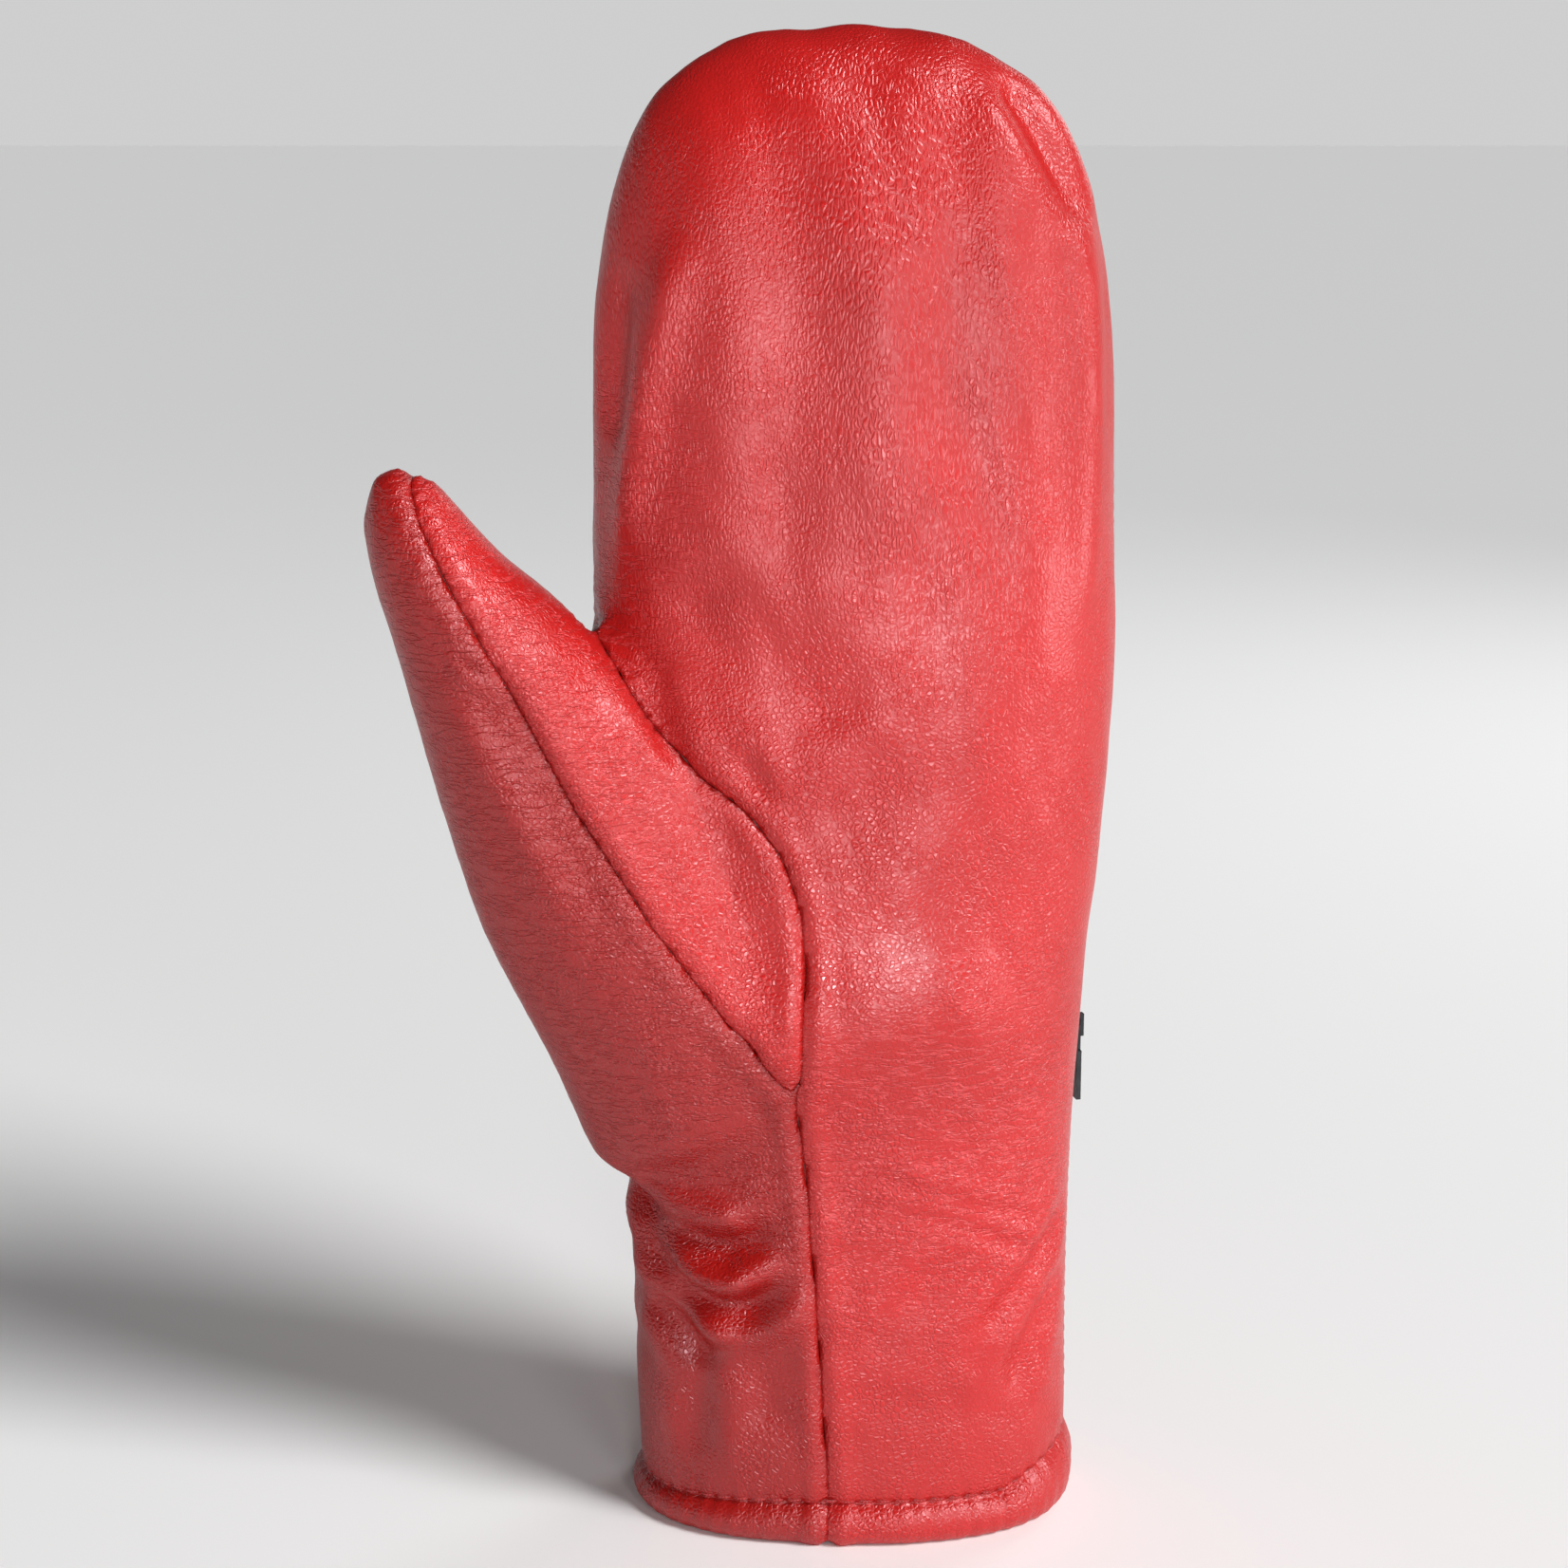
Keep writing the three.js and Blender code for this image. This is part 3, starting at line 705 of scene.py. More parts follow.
def seamRuns(piece, layerName):  # the edges that lie on a seam, as runs of places and outward directions
    bm = bmesh.new()
    bm.from_mesh(piece.data)
    layer = bm.verts.layers.float[layerName]
    nextTo = {}
    for e in bm.edges:
        if e.is_boundary and all(abs(v[layer]) < 1e-6 for v in e.verts):
            for a, b in (e.verts, reversed(e.verts)):
                nextTo.setdefault(a, []).append(b)
    runs, left = [], set(nextTo)
    ends = sorted((v for v in nextTo if len(nextTo[v]) == 1), key=lambda v: v.index)
    for first in ends + sorted(nextTo, key=lambda v: v.index):
        run = []
        while first in left:
            left.discard(first)
            run.append([*(first.co / mm), *first.normal])
            first = next((v for v in nextTo[first] if v in left), first)
        if len(run) > 6:
            runs.append(np.array(run))
    bm.free()
    return runs


drawSeams(skin)
setField(skin, "window", -zipNear(readPoints(skin.data)))
whole = skin
skin = part(whole, "skin", "window", True)
removePieces(whole)
surface = BVHTree.FromPolygons([v.co for v in skin.data.vertices], [p.vertices[:] for p in skin.data.polygons])
thumbPalmLeather = part(skin, "thumb_palm_leather", "thumbPalm", True)
others = part(skin, "others", "thumbPalm", False)
palmLeather = part(others, "palm_leather", "palm", True)
backLeather = part(others, "back_leather", "palm", False)
palmRuns, thumbRuns = seamRuns(palmLeather, "palm"), seamRuns(thumbPalmLeather, "thumbPalm")
for leather in (thumbPalmLeather, palmLeather, backLeather):
    turnEdges(leather, ("thumbPalm", "palm", "window"))
    wall = leather.modifiers.new("thickness", "SOLIDIFY")
    wall.thickness, wall.offset = 0.9 * mm, -1
print("panels cut:", [len(p.data.polygons) for p in (thumbPalmLeather, palmLeather, backLeather)])


# Shaders. A node's inputs are values or other nodes' sockets.
def wire(tree, node, inputs):
    for key, value in inputs.items():
        if isinstance(value, bpy.types.NodeSocket):
            tree.links.new(value, node.inputs[key])
        else:
            node.inputs[key].default_value = value


def add(tree, kind, inputs=None, **settings):
    made = tree.nodes.new(kind)
    for key, value in settings.items():
        setattr(made, key, value)
    wire(tree, made, inputs or {})
    return made


def maths(tree, operation, a, b=0.0, clamp=False):
    return add(tree, "ShaderNodeMath", {0: a, 1: b}, operation=operation, use_clamp=clamp).outputs[0]


def ramp(tree, value, low, high, toLow=0.0, toHigh=1.0):
    return add(tree, "ShaderNodeMapRange", {"Value": value, "From Min": low, "From Max": high,
                                            "To Min": toLow, "To Max": toHigh},
               interpolation_type="SMOOTHSTEP").outputs["Result"]


def mixColour(tree, share, a, b, blend="MIX"):
    return add(tree, "ShaderNodeMix", {0: share, 6: a, 7: b}, data_type="RGBA", blend_type=blend).outputs[2]


def newGroup(name, inputs, outputs):
    group = bpy.data.node_groups.new(name, "ShaderNodeTree")
    for label, kind, value in inputs:
        socket = group.interface.new_socket(label, in_out="INPUT", socket_type=kind)
        if value is not None:
            socket.default_value = value
    for label, kind in outputs:
        group.interface.new_socket(label, in_out="OUTPUT", socket_type=kind)
    return group, group.nodes.new("NodeGroupInput"), group.nodes.new("NodeGroupOutput")


def place(tree, group, **inputs):
    return add(tree, "ShaderNodeGroup", inputs, node_tree=group).outputs


def noise(tree, where, scale, detail, **more):
    return add(tree, "ShaderNodeTexNoise", {"Vector": where, "Scale": scale, "Detail": detail, **more}).outputs


def attribute(tree, name):
    return add(tree, "ShaderNodeAttribute", attribute_name=name).outputs


def bumped(tree, height, distance):  # a bump this many millimetres high
    return add(tree, "ShaderNodeBump", {"Height": height, "Strength": 1.0, "Distance": distance * mm}).outputs[0]


def darker(colour, share):
    return tuple(c * share for c in colour[:3]) + (1,)


def grainGroup():  # the fine pebbled grain of sheep leather, drawn out one way where the hide was stretched
    group, given, out = newGroup("leather grain", [
        ("Place", "NodeSocketVector", None), ("Cell", "NodeSocketFloat", 0.9), ("Stretch", "NodeSocketFloat", 0.0),
        ("Creases", "NodeSocketFloat", 0.0)],
        [("Height", "NodeSocketFloat"), ("Pits", "NodeSocketFloat"), ("Hairs", "NodeSocketFloat")])
    place, cell = given.outputs["Place"], given.outputs["Cell"]
    bend = noise(group, place, 260.0, 2.0)["Color"]
    offset = add(group, "ShaderNodeVectorMath", {0: bend, 1: (0.5, 0.5, 0.5)}, operation="SUBTRACT").outputs[0]
    offset = add(group, "ShaderNodeVectorMath", {0: offset, "Scale": 0.0011}, operation="SCALE").outputs[0]
    bent = add(group, "ShaderNodeVectorMath", {0: place, 1: offset}, operation="ADD").outputs[0]
    size = maths(group, "DIVIDE", 1000.0, cell)
    cells = []
    for squash in ((1, 1, 1), (1.25, 1.25, 0.42)):
        scaled = add(group, "ShaderNodeMapping", {"Vector": bent, "Scale": squash}).outputs[0]
        web = add(group, "ShaderNodeTexVoronoi", {"Vector": scaled, "Scale": size},
                  feature="DISTANCE_TO_EDGE").outputs["Distance"]
        cells.append(ramp(group, web, 0.0, 0.3))
    pebble = add(group, "ShaderNodeMix", {0: given.outputs["Stretch"], 2: cells[0], 3: cells[1]}).outputs[0]
    patch = noise(group, place, 95.0, 3.0)["Fac"]
    strength = ramp(group, patch, 0.35, 0.65, 0.45, 1.0)
    pebble = maths(group, "MULTIPLY", pebble, strength)
    lined = add(group, "ShaderNodeMapping", {"Vector": bent, "Scale": (0.22, 0.22, 1.0)}).outputs[0]
    lines = noise(group, lined, 520.0, 3.0, Roughness=0.6)["Fac"]
    lines = maths(group, "ABSOLUTE", maths(group, "SUBTRACT", lines, 0.5))
    lines = ramp(group, lines, 0.0, 0.045, 1.0, 0.0)
    hairs = maths(group, "MULTIPLY", lines, given.outputs["Creases"])
    fine = noise(group, place, 2600.0, 2.0)["Fac"]
    height = maths(group, "SUBTRACT", maths(group, "ADD", pebble, maths(group, "MULTIPLY", fine, 0.25)),
                   maths(group, "MULTIPLY", hairs, 1.3))
    pits = maths(group, "SUBTRACT", 1.0, pebble)
    wire(group, out, {"Height": height, "Pits": pits, "Hairs": hairs})
    return group


grain = grainGroup()


def newMaterial(name, roughness=0.5, **sockets):
    material = bpy.data.materials.new(name)
    material.use_nodes = True
    tree = material.node_tree
    shader = tree.nodes["Principled BSDF"]
    wire(tree, shader, {"Roughness": roughness, **{key.replace("_", " "): sockets[key] for key in sockets}})
    where = add(tree, "ShaderNodeTexCoord").outputs["Object"]
    return material, tree, shader, where


leatherLook = {
    "mid": (0.56, 0.011, 0.010, 1),
    # the darker dye of the random tone and the grain's pits, and also the colour of the painted shade
    "deep": (0.30, 0.004, 0.002, 1),
    "worn": (0.72, 0.070, 0.075, 1),
    "cell": 1.0,
    "bump": 0.125,
}


def leatherMaterial(name):
    look = leatherLook
    material, tree, shader, where = newMaterial(name, Specular_IOR_Level=0.8, Specular_Tint=(1, 0.8, 0.84, 1))
    stretch, creased, deep, polish = (attribute(tree, name)["Fac"]
                                      for name in ("stretch", "creased", "deep", "polish"))
    skinGrain = place(tree, grain, Place=where, Cell=look["cell"], Stretch=stretch, Creases=creased)
    cloud = noise(tree, where, 24.0, 3.0)["Fac"]
    baseColour = mixColour(tree, ramp(tree, cloud, 0.3, 0.7, 0.0, 0.35), look["mid"], look["deep"])
    baseColour = mixColour(tree, maths(tree, "MULTIPLY", skinGrain["Pits"], 0.35), baseColour, look["deep"])
    baseColour = mixColour(tree, maths(tree, "MULTIPLY", skinGrain["Hairs"], 0.55), baseColour, look["worn"])
    # painted shade: the 'deep' field mixes in the deep colour along the seam grooves and on the back leather's left
    # side
    baseColour = mixColour(tree, deep, baseColour, look["deep"])
    dull = maths(tree, "ADD", maths(tree, "MULTIPLY", skinGrain["Pits"], 0.12),
                 ramp(tree, cloud, 0.3, 0.7, 0.23, 0.31))
    dull = maths(tree, "SUBTRACT", dull, maths(tree, "MULTIPLY", polish, 0.09))
    height = maths(tree, "MULTIPLY", skinGrain["Height"], ramp(tree, polish, 0.0, 1.0, 1.0, 0.5))
    wire(tree, shader, {"Base Color": baseColour, "Roughness": dull, "Normal": bumped(tree, height, look["bump"])})
    return material


def dressLeather(piece, material):
    points, normals = readPoints(piece.data), readNormals(piece.data)
    x, y, z = points.T
    setField(piece, "stretch", smoothStep(150, 205, z) * (0.75 + 0.25 * np.sin(x * 0.11 + z * 0.02)))
    outer = smoothStep(6, -30, x) * smoothStep(70, 100, z) * smoothStep(240, 215, z)
    low = smoothStep(140, 95, z) * smoothStep(30, 60, z)
    setField(piece, "creased", np.clip(outer + 0.75 * low, 0, 1) * 0.9)
    # painted shade, kept in the 'deep' field: a narrow dark line along each seam groove, and on the back leather a
    # darker part left of the thumb seam, below the fingers, wherever it faces front or sideways, the side away from
    # the lamps
    seam = np.minimum(np.abs(getField(piece, "thumbPalm")), np.abs(getField(piece, "palm")))
    shade = smoothStep(0.7, 0.0, normals[:, 1]) * smoothStep(26, 6, x) * smoothStep(224, 196, z)
    shade *= 0.85 if piece is backLeather else 0
    setField(piece, "deep", np.clip(0.5 * np.exp(-(seam / 0.4) ** 2) + shade, 0, 1))
    setField(piece, "polish", np.exp(-((x - 22) / 20) ** 2 - ((z - 122) / 17) ** 2) * (y < 0))
    piece.data.materials.append(material)


leatherRed = leatherMaterial("red sheep leather")
for leather in (thumbPalmLeather, palmLeather, backLeather):
    dressLeather(leather, leatherRed)

knuckle = Vector(joints["thumb_swing"]["pos_m"])
thumbBend = {"start": knuckle + Vector((7, 0, 0)) * mm, "end": knuckle + Vector((-11, 0, 0)) * mm}
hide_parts("palm_panel")
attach(palmLeather, "mitten")
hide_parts("thumb_palm_panel", "thumb_cap_palm")
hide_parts("back_panel", "thumb_cap_back")
for leather in (thumbPalmLeather, backLeather):
    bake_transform(leather, "mitten", "thumb_cap", **thumbBend)
removePieces(skin, others)
print("leather dressed")


# The layers under the leather: wadding and pile lining, each cut like the shell and lying clear inside it.
layers = {
    "insulation": {"hand": 4.7, "thumb": 3.9, "thickness": 1.3, "thumbThickness": 0.9, "from": 72.4, "lump": 0.12},
    "lining": {"hand": 6.7, "thumb": 5.2, "thickness": 2.4, "thumbThickness": 1.3, "from": 72.6, "lump": 0.1},
}


def cutLayer(kind, spec):
    form = makeForm(kind, spec["hand"], spec["thumb"], 3.2)
    points, normals = readPoints(form.data), readNormals(form.data)
    writePoints(form.data, points + normals * (spec["lump"] * waves(points, 31, (8, 8, 9)))[:, None])
    setField(form, "open", points[:, 2] - spec["from"])
    whole = part(form, "whole " + kind, "open", True)
    points = readPoints(whole.data)
    setField(whole, "onThumb", smoothField(whole, thumbField(points, spec["hand"]), 5))
    setField(whole, "side", seams["sideY"] - points[:, 1])
    thumbPart = part(whole, "thumb_" + kind + "_layer", "onThumb", True)
    handPart = part(whole, "hand " + kind, "onThumb", False)
    palmPart = part(handPart, "palm_" + kind + "_layer", "side", True)
    backPart = part(handPart, "back_" + kind + "_layer", "side", False)
    removePieces(form, whole, handPart)
    for piece, thick in ((palmPart, "thickness"), (backPart, "thickness"), (thumbPart, "thumbThickness")):
        turnEdges(piece, ("onThumb", "side"), tuck=0.6, draw=0.1)
        wall = piece.modifiers.new("thickness", "SOLIDIFY")
        wall.thickness, wall.offset = spec[thick] * mm, -1
    for piece, node in ((palmPart, "palm_"), (backPart, "back_")):
        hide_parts(node + kind)
        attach(piece, "mitten")
    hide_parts("thumb_" + kind, "thumb_cap_" + kind)
    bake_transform(thumbPart, "mitten", "thumb_cap", **thumbBend)
    return palmPart, backPart, thumbPart


def clothMaterial(name, colour, roughness, height, distance):  # height makes the bump from the place
    material, tree, shader, where = newMaterial(name, roughness)
    value, tone = height(tree, where)
    wire(tree, shader, {"Base Color": mixColour(tree, tone, darker(colour, 0.55), colour),
                        "Normal": bumped(tree, value, distance), "Sheen Weight": 0.25, "Sheen Roughness": 0.5})
    return material


def pile(tree, where):  # short tufts, some leaning over others
    tufts = add(tree, "ShaderNodeTexVoronoi", {"Vector": where, "Scale": 900.0}).outputs["Distance"]
    drift = noise(tree, where, 160.0, 4.0)["Fac"]
    height = maths(tree, "ADD", maths(tree, "MULTIPLY", tufts, -0.8), drift)
    return height, ramp(tree, height, -0.2, 0.6)


def fibres(tree, where):  # loose crossed fibres
    bent = noise(tree, where, 420.0, 5.0, Distortion=1.4)["Fac"]
    return bent, ramp(tree, bent, 0.3, 0.6)


def weaveGroup():  # over and under threads on two axes of a piece's own cloth map
    group, given, out = newGroup("woven threads", [("Map", "NodeSocketVector", None),
                                                   ("Thread", "NodeSocketFloat", 0.4)],
                                 [("Height", "NodeSocketFloat"), ("Tone", "NodeSocketFloat")])
    apart = add(group, "ShaderNodeSeparateXYZ", {0: given.outputs["Map"]}).outputs
    swings = []
    for axis in (0, 1):
        phase = maths(group, "DIVIDE", apart[axis], given.outputs["Thread"])
        swings.append(maths(group, "SINE", maths(group, "MULTIPLY", phase, math.pi)))
    over = maths(group, "MULTIPLY", *swings)
    ridge = maths(group, "ADD", *(maths(group, "ABSOLUTE", swing) for swing in swings))
    height = maths(group, "ADD", maths(group, "MULTIPLY", ridge, 0.5), maths(group, "MULTIPLY", over, 0.35))
    fuzz = noise(group, given.outputs["Map"], 3.0, 3.0)["Fac"]
    tone = maths(group, "MULTIPLY", ramp(group, height, 0.0, 0.9, 0.35, 1.0),
                 ramp(group, fuzz, 0.3, 0.7, 0.75, 1.0))
    wire(group, out, {"Height": height, "Tone": tone})
    return group


weave = weaveGroup()


def wovenMaterial(name, colour, thread, distance, roughness=0.85):  # reads the cloth map, in millimetres
    material, tree, shader, where = newMaterial(name, roughness)
    threads = place(tree, weave, Map=attribute(tree, "cloth")["Vector"], Thread=thread)
    wire(tree, shader, {"Base Color": mixColour(tree, threads["Tone"], darker(colour, 0.4), colour),
                        "Normal": bumped(tree, threads["Height"], distance)})
    return material


def setCloth(piece, across, along):  # the two directions of the weave over a piece, in millimetres
    cloth = piece.data.attributes.new("cloth", "FLOAT_VECTOR", "POINT")
    cloth.data.foreach_set("vector", np.stack([across, along, np.zeros(len(across))], 1).astype(np.float32).ravel())


pileMaterial = clothMaterial("black pile", (0.030, 0.028, 0.030, 1), 0.95, pile, 0.6)
waddingMaterial = clothMaterial("white wadding", (0.82, 0.80, 0.76, 1), 0.95, fibres, 0.5)
for kind, spec in layers.items():
    for piece in cutLayer(kind, spec):
        piece.data.materials.append(waddingMaterial if kind == "insulation" else pileMaterial)
print("wadding and pile lining made")

# Bands that run round inside the cuff, each a strip swept round the hand form.
bands = {
    # node: depth under the leather's face, thickness, bottom, top, ruffle
    "cuff_facing": (3.7, 2.2, 0.9, 17.0, 0.0),
    "hem_tape": (2.75, 0.55, 1.5, 9.8, 0.0),
    "palm_cuff_lining": (6.6, 2.2, 4.0, 72.0, 0.12),
    "back_cuff_lining": (6.6, 2.2, 4.0, 72.0, 0.12),
    "wrist_elastic": (5.0, 0.8, 50.0, 58.0, 0.25),
    "pocket_bag": (6.0, 0.35, 21.8, 107.5, 0.08),
    "size_label": (9.6, 0.35, 20.0, 36.0, 0.1),
}


def sideAngle(y):  # where the side seam crosses the cuff, on the thumb's side and the zip's side
    angles = np.linspace(0, math.pi, 721)
    at = handPoints(angles, np.full(721, 40.0))[:, 1]
    half = angles < math.pi / 2
    return angles[half][np.abs(at[half] - y).argmin()], angles[~half][np.abs(at[~half] - y).argmin()]


sideLow, sideHigh = sideAngle(seams["sideY"])
frontLeft = 1.5 * math.pi - 0.22  # where the cuff seam stands, seen from the middle
spans = {
    "cuff_facing": (0, 2 * math.pi),
    "hem_tape": (0, 2 * math.pi),
    "palm_cuff_lining": (sideHigh + 0.01, 2 * math.pi + sideLow - 0.01),
    "back_cuff_lining": (sideLow + 0.01, sideHigh - 0.01),
    "wrist_elastic": (0.5 * math.pi - 0.5, frontLeft),
    "pocket_bag": (-0.2, 0.62),
    "size_label": (1.25, 1.95),
}


def makeBand(name):
    depth, thick, bottom, top, ruffle = bands[name]
    first, last = spans[name]
    closed = last - first > 6.28
    steps = max(10, round((last - first) / (2 * math.pi) * 180))
    rows = max(3, round((top - bottom) / 2.0))
    bm = bmesh.new()
    bmesh.ops.create_grid(bm, x_segments=steps, y_segments=rows, size=0.5)
    grid = np.array([v.co for v in bm.verts]) + 0.5
    angle = first + (last - first) * grid[:, 0]
    height = bottom + (top - bottom) * grid[:, 1]
    drop = depth + ruffle * np.sin(angle * 60) * np.sin(height * 0.9)
    face = handPoints(angle, height, 0)
    toward = (handPoints(angle, height, 10.0) - face) / 10.0
    for vertex, point in zip(bm.verts, face + toward * drop[:, None]):
        vertex.co = Vector(point) * mm
    if closed:
        bmesh.ops.remove_doubles(bm, verts=bm.verts, dist=0.05 * mm)
    bmesh.ops.recalc_face_normals(bm, faces=bm.faces)
    band = pieceFromBmesh(name + "_cloth", bm)
    points, normals = readPoints(band.data), readNormals(band.data)
    if (normals[:, :2] * outwards(points)).sum(1).mean() < 0:
        band.data.flip_normals()
    setCloth(band, ringTurn(points) * hem["radius"], points[:, 2])
    wall = band.modifiers.new("thickness", "SOLIDIFY")
    wall.thickness, wall.offset = thick * mm, -1
    edge = band.modifiers.new("soft edge", "BEVEL")
    edge.width, edge.segments = min(0.4, thick * 0.3) * mm, 2
    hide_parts(name)
    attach(band, "mitten")
    return band


def ribs(tree, where):  # fine knitted ribs that run up the cuff
    apart = add(tree, "ShaderNodeSeparateXYZ", {0: attribute(tree, "cloth")["Vector"]}).outputs
    rib = maths(tree, "ABSOLUTE", maths(tree, "SINE", maths(tree, "MULTIPLY", apart[0], 2.4)))
    loop = maths(tree, "ADD", maths(tree, "MULTIPLY", apart[1], 3.6), rib)
    loop = maths(tree, "ABSOLUTE", maths(tree, "SINE", loop))
    height = maths(tree, "ADD", rib, maths(tree, "MULTIPLY", loop, 0.35))
    return height, ramp(tree, height, 0.1, 1.1)


bandFinish = {
    "cuff_facing": (clothMaterial("rib knit", (0.035, 0.035, 0.038, 1), 0.9, ribs, 0.4), "facing"),
    "hem_tape": (wovenMaterial("hem tape", (0.16, 0.02, 0.02, 1), 0.5, 0.12), "hem_tape"),
    "palm_cuff_lining": (wovenMaterial("brushed tricot", (0.05, 0.05, 0.055, 1), 0.55, 0.1), "cuff_lining"),
    "wrist_elastic": (wovenMaterial("elastic", (0.04, 0.04, 0.04, 1), 0.8, 0.25), "elastic"),
    "pocket_bag": (wovenMaterial("nylon", (0.05, 0.05, 0.06, 1), 0.35, 0.06, 0.55), "pocket"),
    "size_label": (wovenMaterial("satin label", (0.75, 0.75, 0.74, 1), 0.25, 0.04, 0.45), "label"),
}
bandFinish["back_cuff_lining"] = bandFinish["palm_cuff_lining"]
for name in bands:
    band = makeBand(name)
    band.data.materials.append(bandFinish[name][0])
print("cuff bands made")


# Stitches: each is a short length of twisted thread that arches between its two holes.
threadLook = {
    "hem": {"thick": 0.26, "arch": 0.35, "gap": 0.1},
    "seam": {"thick": 0.2, "arch": -0.12, "gap": 0.16, "pitch": 3.1, "sunk": 0.75},
    "window": {"thick": 0.24, "arch": 0.12, "gap": 0.14, "pitch": 3.2, "beside": 2.3},
}


def addStitch(bm, layer, a, b, up, look):
    axis = b - a
    length = axis.length
    axis.normalize()
    side = axis.cross(up).normalized()
    rise = side.cross(axis)
    for v in bmesh.ops.create_uvsphere(bm, u_segments=7, v_segments=7, radius=1)["verts"]:
        turn, t = math.atan2(v.co.y, v.co.x), v.co.z
        full = min(1.0, math.sqrt(max(0.0, 1 - t * t)) * 1.6)
        v[layer] = (turn / math.pi, (t + 1) / 2 * length, 0)
        v.co = (a.lerp(b, (t + 1) / 2) + rise * look["arch"] * (1 - t * t)
                + (side * math.cos(turn) + rise * math.sin(turn)) * look["thick"] * full) * mm


def threadPiece(name, stitches, look):
    bm = bmesh.new()
    layer = bm.verts.layers.float_vector.new("cloth")
    for a, b, up in stitches:
        if 0.6 < (b - a).length < 8:
            addStitch(bm, layer, a, b, up, look)
    return pieceFromBmesh(name, bm)


def touch(point, toward):  # the leather's outer face seen from a point, in millimetres
    where, normal = surface.ray_cast(Vector(point) * mm, Vector(toward))[:2]
    return (where / mm, normal) if where else None


def hemPlace(phase):
    angle = np.interp(phase % ringStitches, ringRun / ringRun[-1] * ringStitches, ringTurns)
    edge = np.array([math.cos(angle) * hem["reach"][0], math.sin(angle) * hem["reach"][1]]) * 1.5 + hem["middle"]
    middle = np.array(hem["middle"]) - edge
    toward = middle / np.linalg.norm(middle)
    level = float(hemHeight(edge[0] + middle[0] * 0.33)) + 0.35
    return touch((edge[0], edge[1], level), (toward[0], toward[1], 0))


def hemStitches():
    made, look = [], threadLook["hem"]
    for number in range(ringStitches):
        ends = [hemPlace(number + share) for share in (look["gap"], 1 - look["gap"])]
        if all(ends):
            up = (ends[0][1] + ends[1][1]).normalized()
            made.append((ends[0][0] - up * 0.1, ends[1][0] - up * 0.1, up))
    return made


def runStitches(runs, keep):
    made, look = [], threadLook["seam"]
    for run in runs:
        places, directions = run[:, :3], run[:, 3:]
        along = runAlong(places)
        for number in range(int(along[-1] / look["pitch"])):
            at = (number + np.array([look["gap"], 1 - look["gap"]])) * look["pitch"]
            a, b = (np.array([np.interp(t, along, places[:, k]) for k in range(3)]) for t in at)
            up = Vector([np.interp(at.mean(), along, directions[:, k]) for k in range(3)]).normalized()
            if keep(a) and keep(b):
                made.append((Vector(a) - up * look["sunk"], Vector(b) - up * look["sunk"], up))
    return made


def windowStitches():
    made, look = [], threadLook["window"]
    halfWide, low, high = (zipper["half"] + look["beside"], zipper["bottom"] - look["beside"],
                           zipper["top"] + look["beside"])
    route = curveThrough([(-halfWide, low + 3), (-halfWide, (low + high) / 2), (-halfWide, high - 3)], 20).tolist()
    route += [(-halfWide + 1, high - 0.9), (-halfWide + 3, high), (halfWide - 3, high), (halfWide - 1, high - 0.9)]
    route += [(halfWide, high - 3), (halfWide, low + 3), (halfWide - 1, low + 0.9), (halfWide - 3, low)]
    route += [(3 - halfWide, low), (1 - halfWide, low + 0.9), (-halfWide, low + 3)]
    route = np.array(route)
    along = runAlong(route)
    out = np.array(zipper["out"])
    aside = np.array((-out[1], out[0]))
    count = round(along[-1] / look["pitch"])
    for number in range(count):
        ends = []
        for share in (look["gap"], 1 - look["gap"]):
            at = (number + share) / count * along[-1]
            beside, level = np.interp(at, along, route[:, 0]), np.interp(at, along, route[:, 1])
            start = np.array(zipper["foot"]) + out * 14 + aside * beside
            ends.append(touch((*start, level), (-out[0], -out[1], 0)))
        if all(ends) and (ends[0][0] - ends[1][0]).length < 5:
            up = (ends[0][1] + ends[1][1]).normalized()
            made.append((ends[0][0], ends[1][0], up))
    return made


def twistGroup():  # strands that wind round a stitch
    group, given, out = newGroup("twisted thread", [("Map", "NodeSocketVector", None),
                                                    ("Turn", "NodeSocketFloat", 0.6)],
                                 [("Height", "NodeSocketFloat"), ("Tone", "NodeSocketFloat")])
    apart = add(group, "ShaderNodeSeparateXYZ", {0: given.outputs["Map"]}).outputs
    twist = maths(group, "ADD", maths(group, "DIVIDE", apart[1], given.outputs["Turn"]), apart[0])
    strand = maths(group, "ABSOLUTE", maths(group, "SINE", maths(group, "MULTIPLY", twist, math.pi)))
    wire(group, out, {"Height": strand, "Tone": ramp(group, strand, 0.0, 0.7, 0.35, 1.0)})
    return group


twisted = twistGroup()


def threadMaterial(name, colour):
    material, tree, shader, where = newMaterial(name, 0.5, Sheen_Weight=0.2, Sheen_Roughness=0.4)
    strands = place(tree, twisted, Map=attribute(tree, "cloth")["Vector"], Turn=0.6)
    wire(tree, shader, {"Base Color": mixColour(tree, strands["Tone"], darker(colour, 0.35), colour),
                        "Normal": bumped(tree, strands["Height"], 0.08)})
    return material


redThread = threadMaterial("red thread", (0.42, 0.012, 0.014, 1))
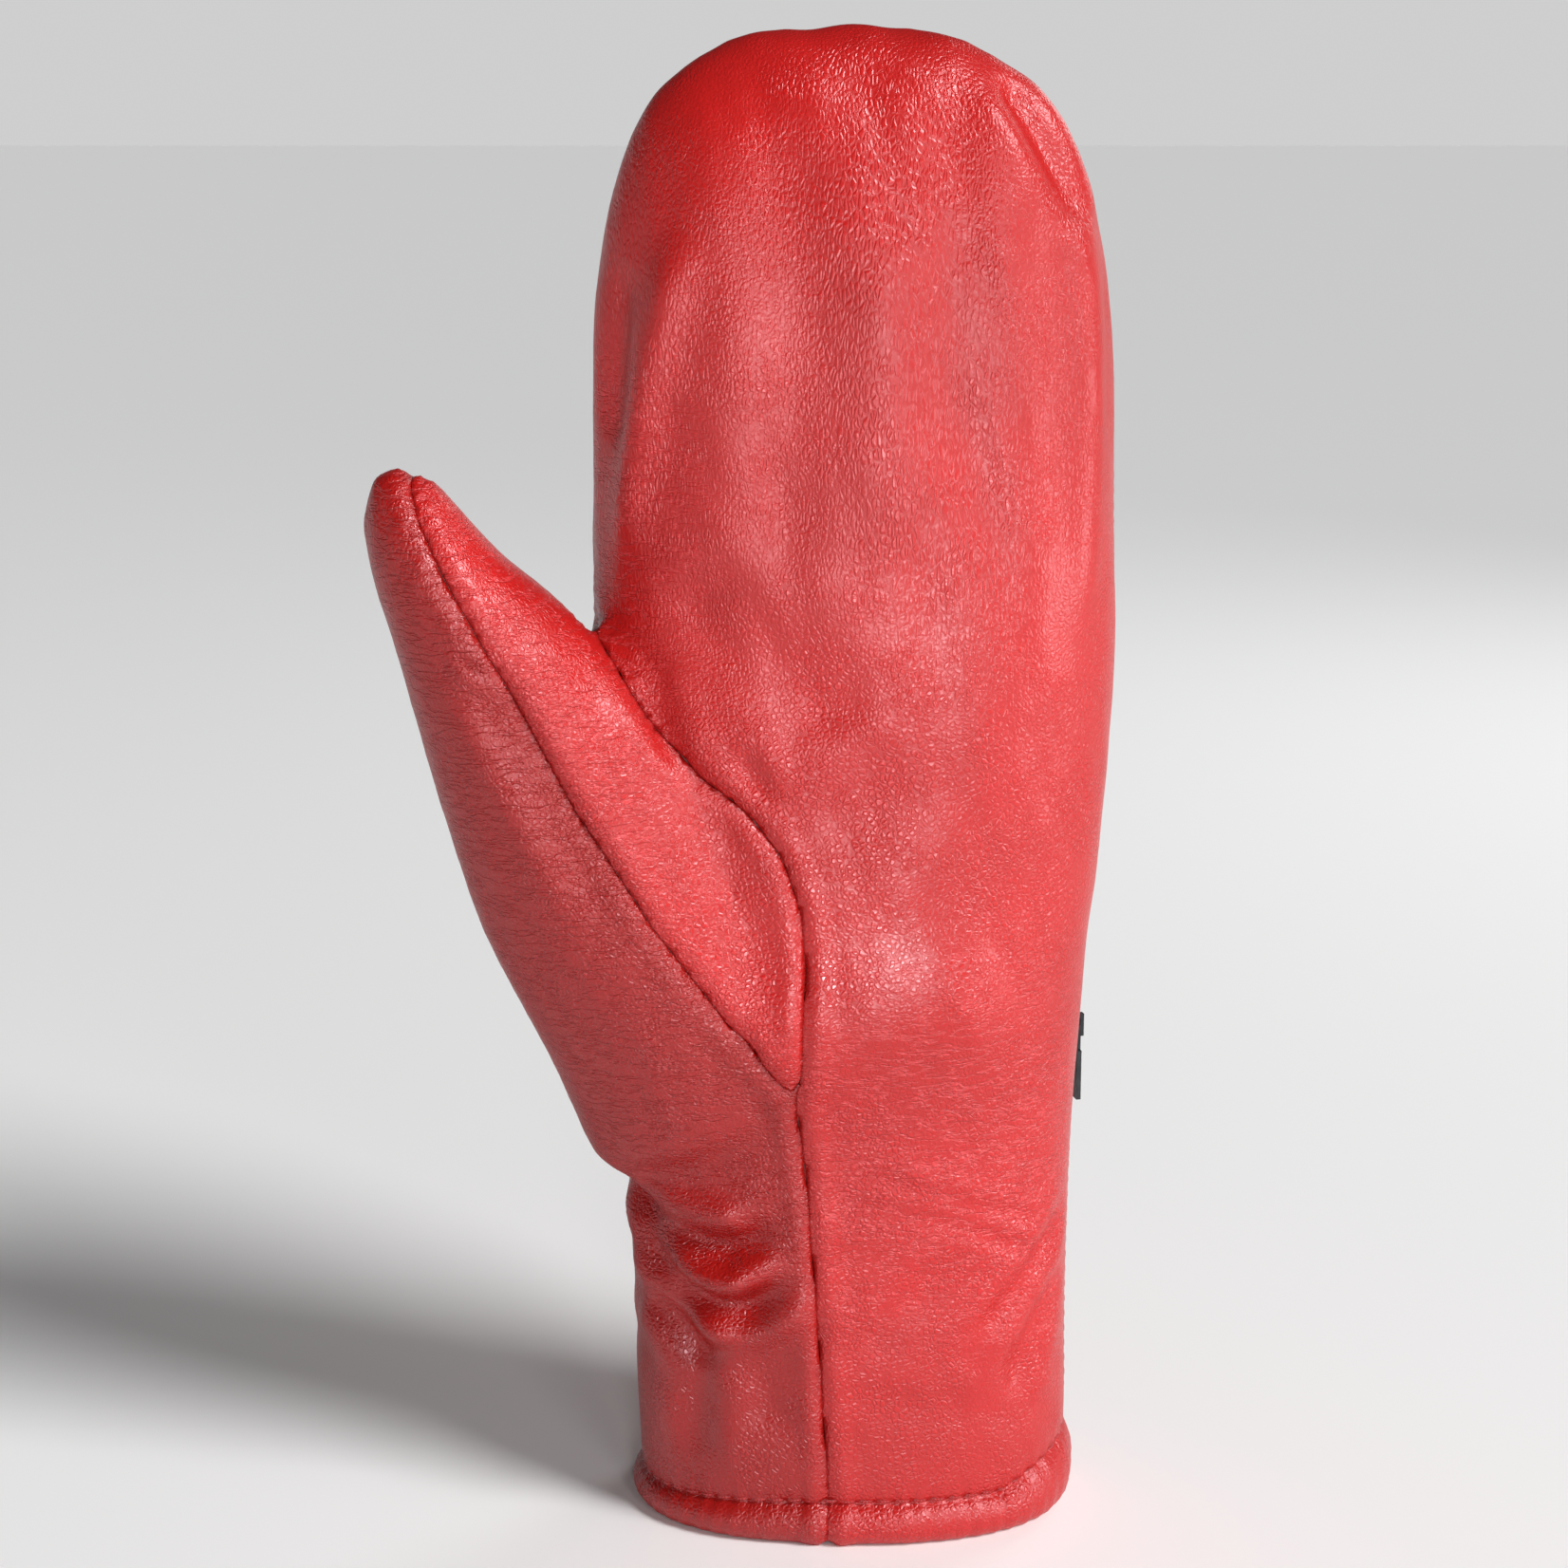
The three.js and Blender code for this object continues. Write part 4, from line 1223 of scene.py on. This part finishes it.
# painted shade: a darker copy of the red thread for the seam stitches, standing for the shade in the seam grooves
# they sit sunk in
shadedThread = threadMaterial("sunk thread", (0.16, 0.006, 0.008, 1))
allPlaces = {
    "hem_stitches": (hemStitches(), threadLook["hem"], redThread),
    "palm_seam_stitches": (runStitches(palmRuns, lambda p: p[2] > 11), threadLook["seam"], shadedThread),
    "thumb_seam_stitches": (runStitches(thumbRuns, lambda p: p[0] < 8 and p[1] < -6), threadLook["seam"], shadedThread),
    "zip_window_stitches": (windowStitches(), threadLook["window"], redThread),
}
for name, (stitches, look, material) in allPlaces.items():
    thread = threadPiece(name, stitches, look)
    thread.data.materials.append(material)
    if name == "thumb_seam_stitches":
        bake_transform(thread, "mitten", "thumb_cap", **thumbBend)
    else:
        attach(thread, "mitten")
    if name == "hem_stitches":
        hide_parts("hem_stitching")
    print(name, len(stitches))


# The zip's hard parts keep their shapes and get their own surfaces.
def zipMaterials():
    tape, tree, shader, where = newMaterial("zip tape", 0.85)
    turned = add(tree, "ShaderNodeMapping", {"Vector": where, "Rotation": (0, 0, -math.radians(14)),
                                             "Scale": (1000, 1000, 1000)}).outputs[0]
    swapped = add(tree, "ShaderNodeSeparateXYZ", {0: turned}).outputs
    flat = add(tree, "ShaderNodeCombineXYZ", {0: swapped[1], 1: swapped[2]}).outputs[0]
    threads = place(tree, weave, Map=flat, Thread=0.55)
    baseColour = mixColour(tree, threads["Tone"], (0.008, 0.008, 0.009, 1), (0.035, 0.035, 0.038, 1))
    wire(tree, shader, {"Base Color": baseColour, "Normal": bumped(tree, threads["Height"], 0.12)})
    teeth, tree, shader, where = newMaterial("moulded teeth")
    scuff = noise(tree, where, 900.0, 4.0)["Fac"]
    wire(tree, shader, {"Base Color": (0.03, 0.03, 0.033, 1), "Roughness": ramp(tree, scuff, 0.3, 0.7, 0.34, 0.55)})
    metal, tree, shader, where = newMaterial("dark nickel", Metallic=1.0)
    scratch = add(tree, "ShaderNodeMapping", {"Vector": where, "Scale": (1, 1, 0.12)}).outputs[0]
    scratch = noise(tree, scratch, 2600.0, 3.0)["Fac"]
    tone = noise(tree, where, 300.0, 2.0)["Fac"]
    wire(tree, shader, {"Base Color": mixColour(tree, tone, (0.03, 0.03, 0.033, 1), (0.09, 0.09, 0.095, 1)),
                        "Roughness": ramp(tree, scratch, 0.35, 0.7, 0.24, 0.42)})
    return {"tape": tape, "teeth": teeth, "stop": metal, "slider": metal, "pull": metal}


zipLooks = zipMaterials()
for piece in list(bpy.context.scene.objects):
    if piece.name.startswith("zip_") and piece.type == "MESH" and piece.name != "zip_window_stitches":
        kind = next(k for k in zipLooks if k in piece.name)
        piece.data.materials.clear()
        piece.data.materials.append(zipLooks[kind])
print("zip dressed")


# Floor, light and camera.
stage = {
    "aim": (7.2, 4.8, 147.5),
    "elevation": 13,
    "distance": 600,
    "width": 1652 * 0.185,  # of the view at the aim, in millimetres
    "sensor": 36,
}


def makeStage():
    bm = bmesh.new()
    bmesh.ops.create_grid(bm, x_segments=1, y_segments=1, size=12.0)
    floor = pieceFromBmesh("floor", bm)
    floor.data.materials.append(newMaterial("pale floor", 0.8, Specular_IOR_Level=0.1,
                                            Base_Color=(0.96, 0.96, 0.96, 1))[0])
    world = bpy.data.worlds.new("studio")
    world.use_nodes = True
    bpy.context.scene.world = world
    tree = world.node_tree
    direction = add(tree, "ShaderNodeTexCoord").outputs["Generated"]
    level = add(tree, "ShaderNodeSeparateXYZ", {0: direction}).outputs[2]
    wire(tree, tree.nodes["Background"], {"Strength": ramp(tree, level, 0.09, 0.3, 0.62, 0.04),
                                          "Color": (1, 1, 1, 1)})
    aim = Vector(stage["aim"]) * mm
    lamps = [
        # kind, place from the aim, size or spread, power
        ("SUN", (0.85, -0.58, 0.9), 0.35, 2.7),
        ("AREA", (0.95, -0.35, 0.0), 0.3, 2.6),
        ("AREA", (0.06, -0.9, 0.05), 0.15, 2.6),
        ("AREA", (0.3, -0.85, 0.3), 0.2, 0.9),
        ("AREA", (0.65, 0.8, 0.5), 0.5, 2.2),
    ]
    for number, (kind, away, size, power) in enumerate(lamps):
        light = bpy.data.lights.new("lamp %d" % number, kind)
        light.energy = power
        if kind == "SUN":
            light.angle = size
        else:
            light.shape, light.size = "DISK", size
        lamp = addPiece(light.name, light)
        lamp.location = aim + Vector(away)
        lamp.rotation_euler = (aim - lamp.location).to_track_quat("-Z", "Y").to_euler()
    camera = addPiece("camera", bpy.data.cameras.new("camera"))
    tilt = math.radians(stage["elevation"])
    camera.location = aim + Vector((0, -math.cos(tilt), math.sin(tilt))) * stage["distance"] * mm
    camera.rotation_euler = (aim - camera.location).to_track_quat("-Z", "Y").to_euler()
    camera.data.sensor_width = stage["sensor"]
    camera.data.lens = stage["sensor"] * stage["distance"] / stage["width"]
    bpy.context.scene.camera = camera
    bpy.context.scene.view_settings.view_transform = "Standard"


makeStage()
print("stage set")
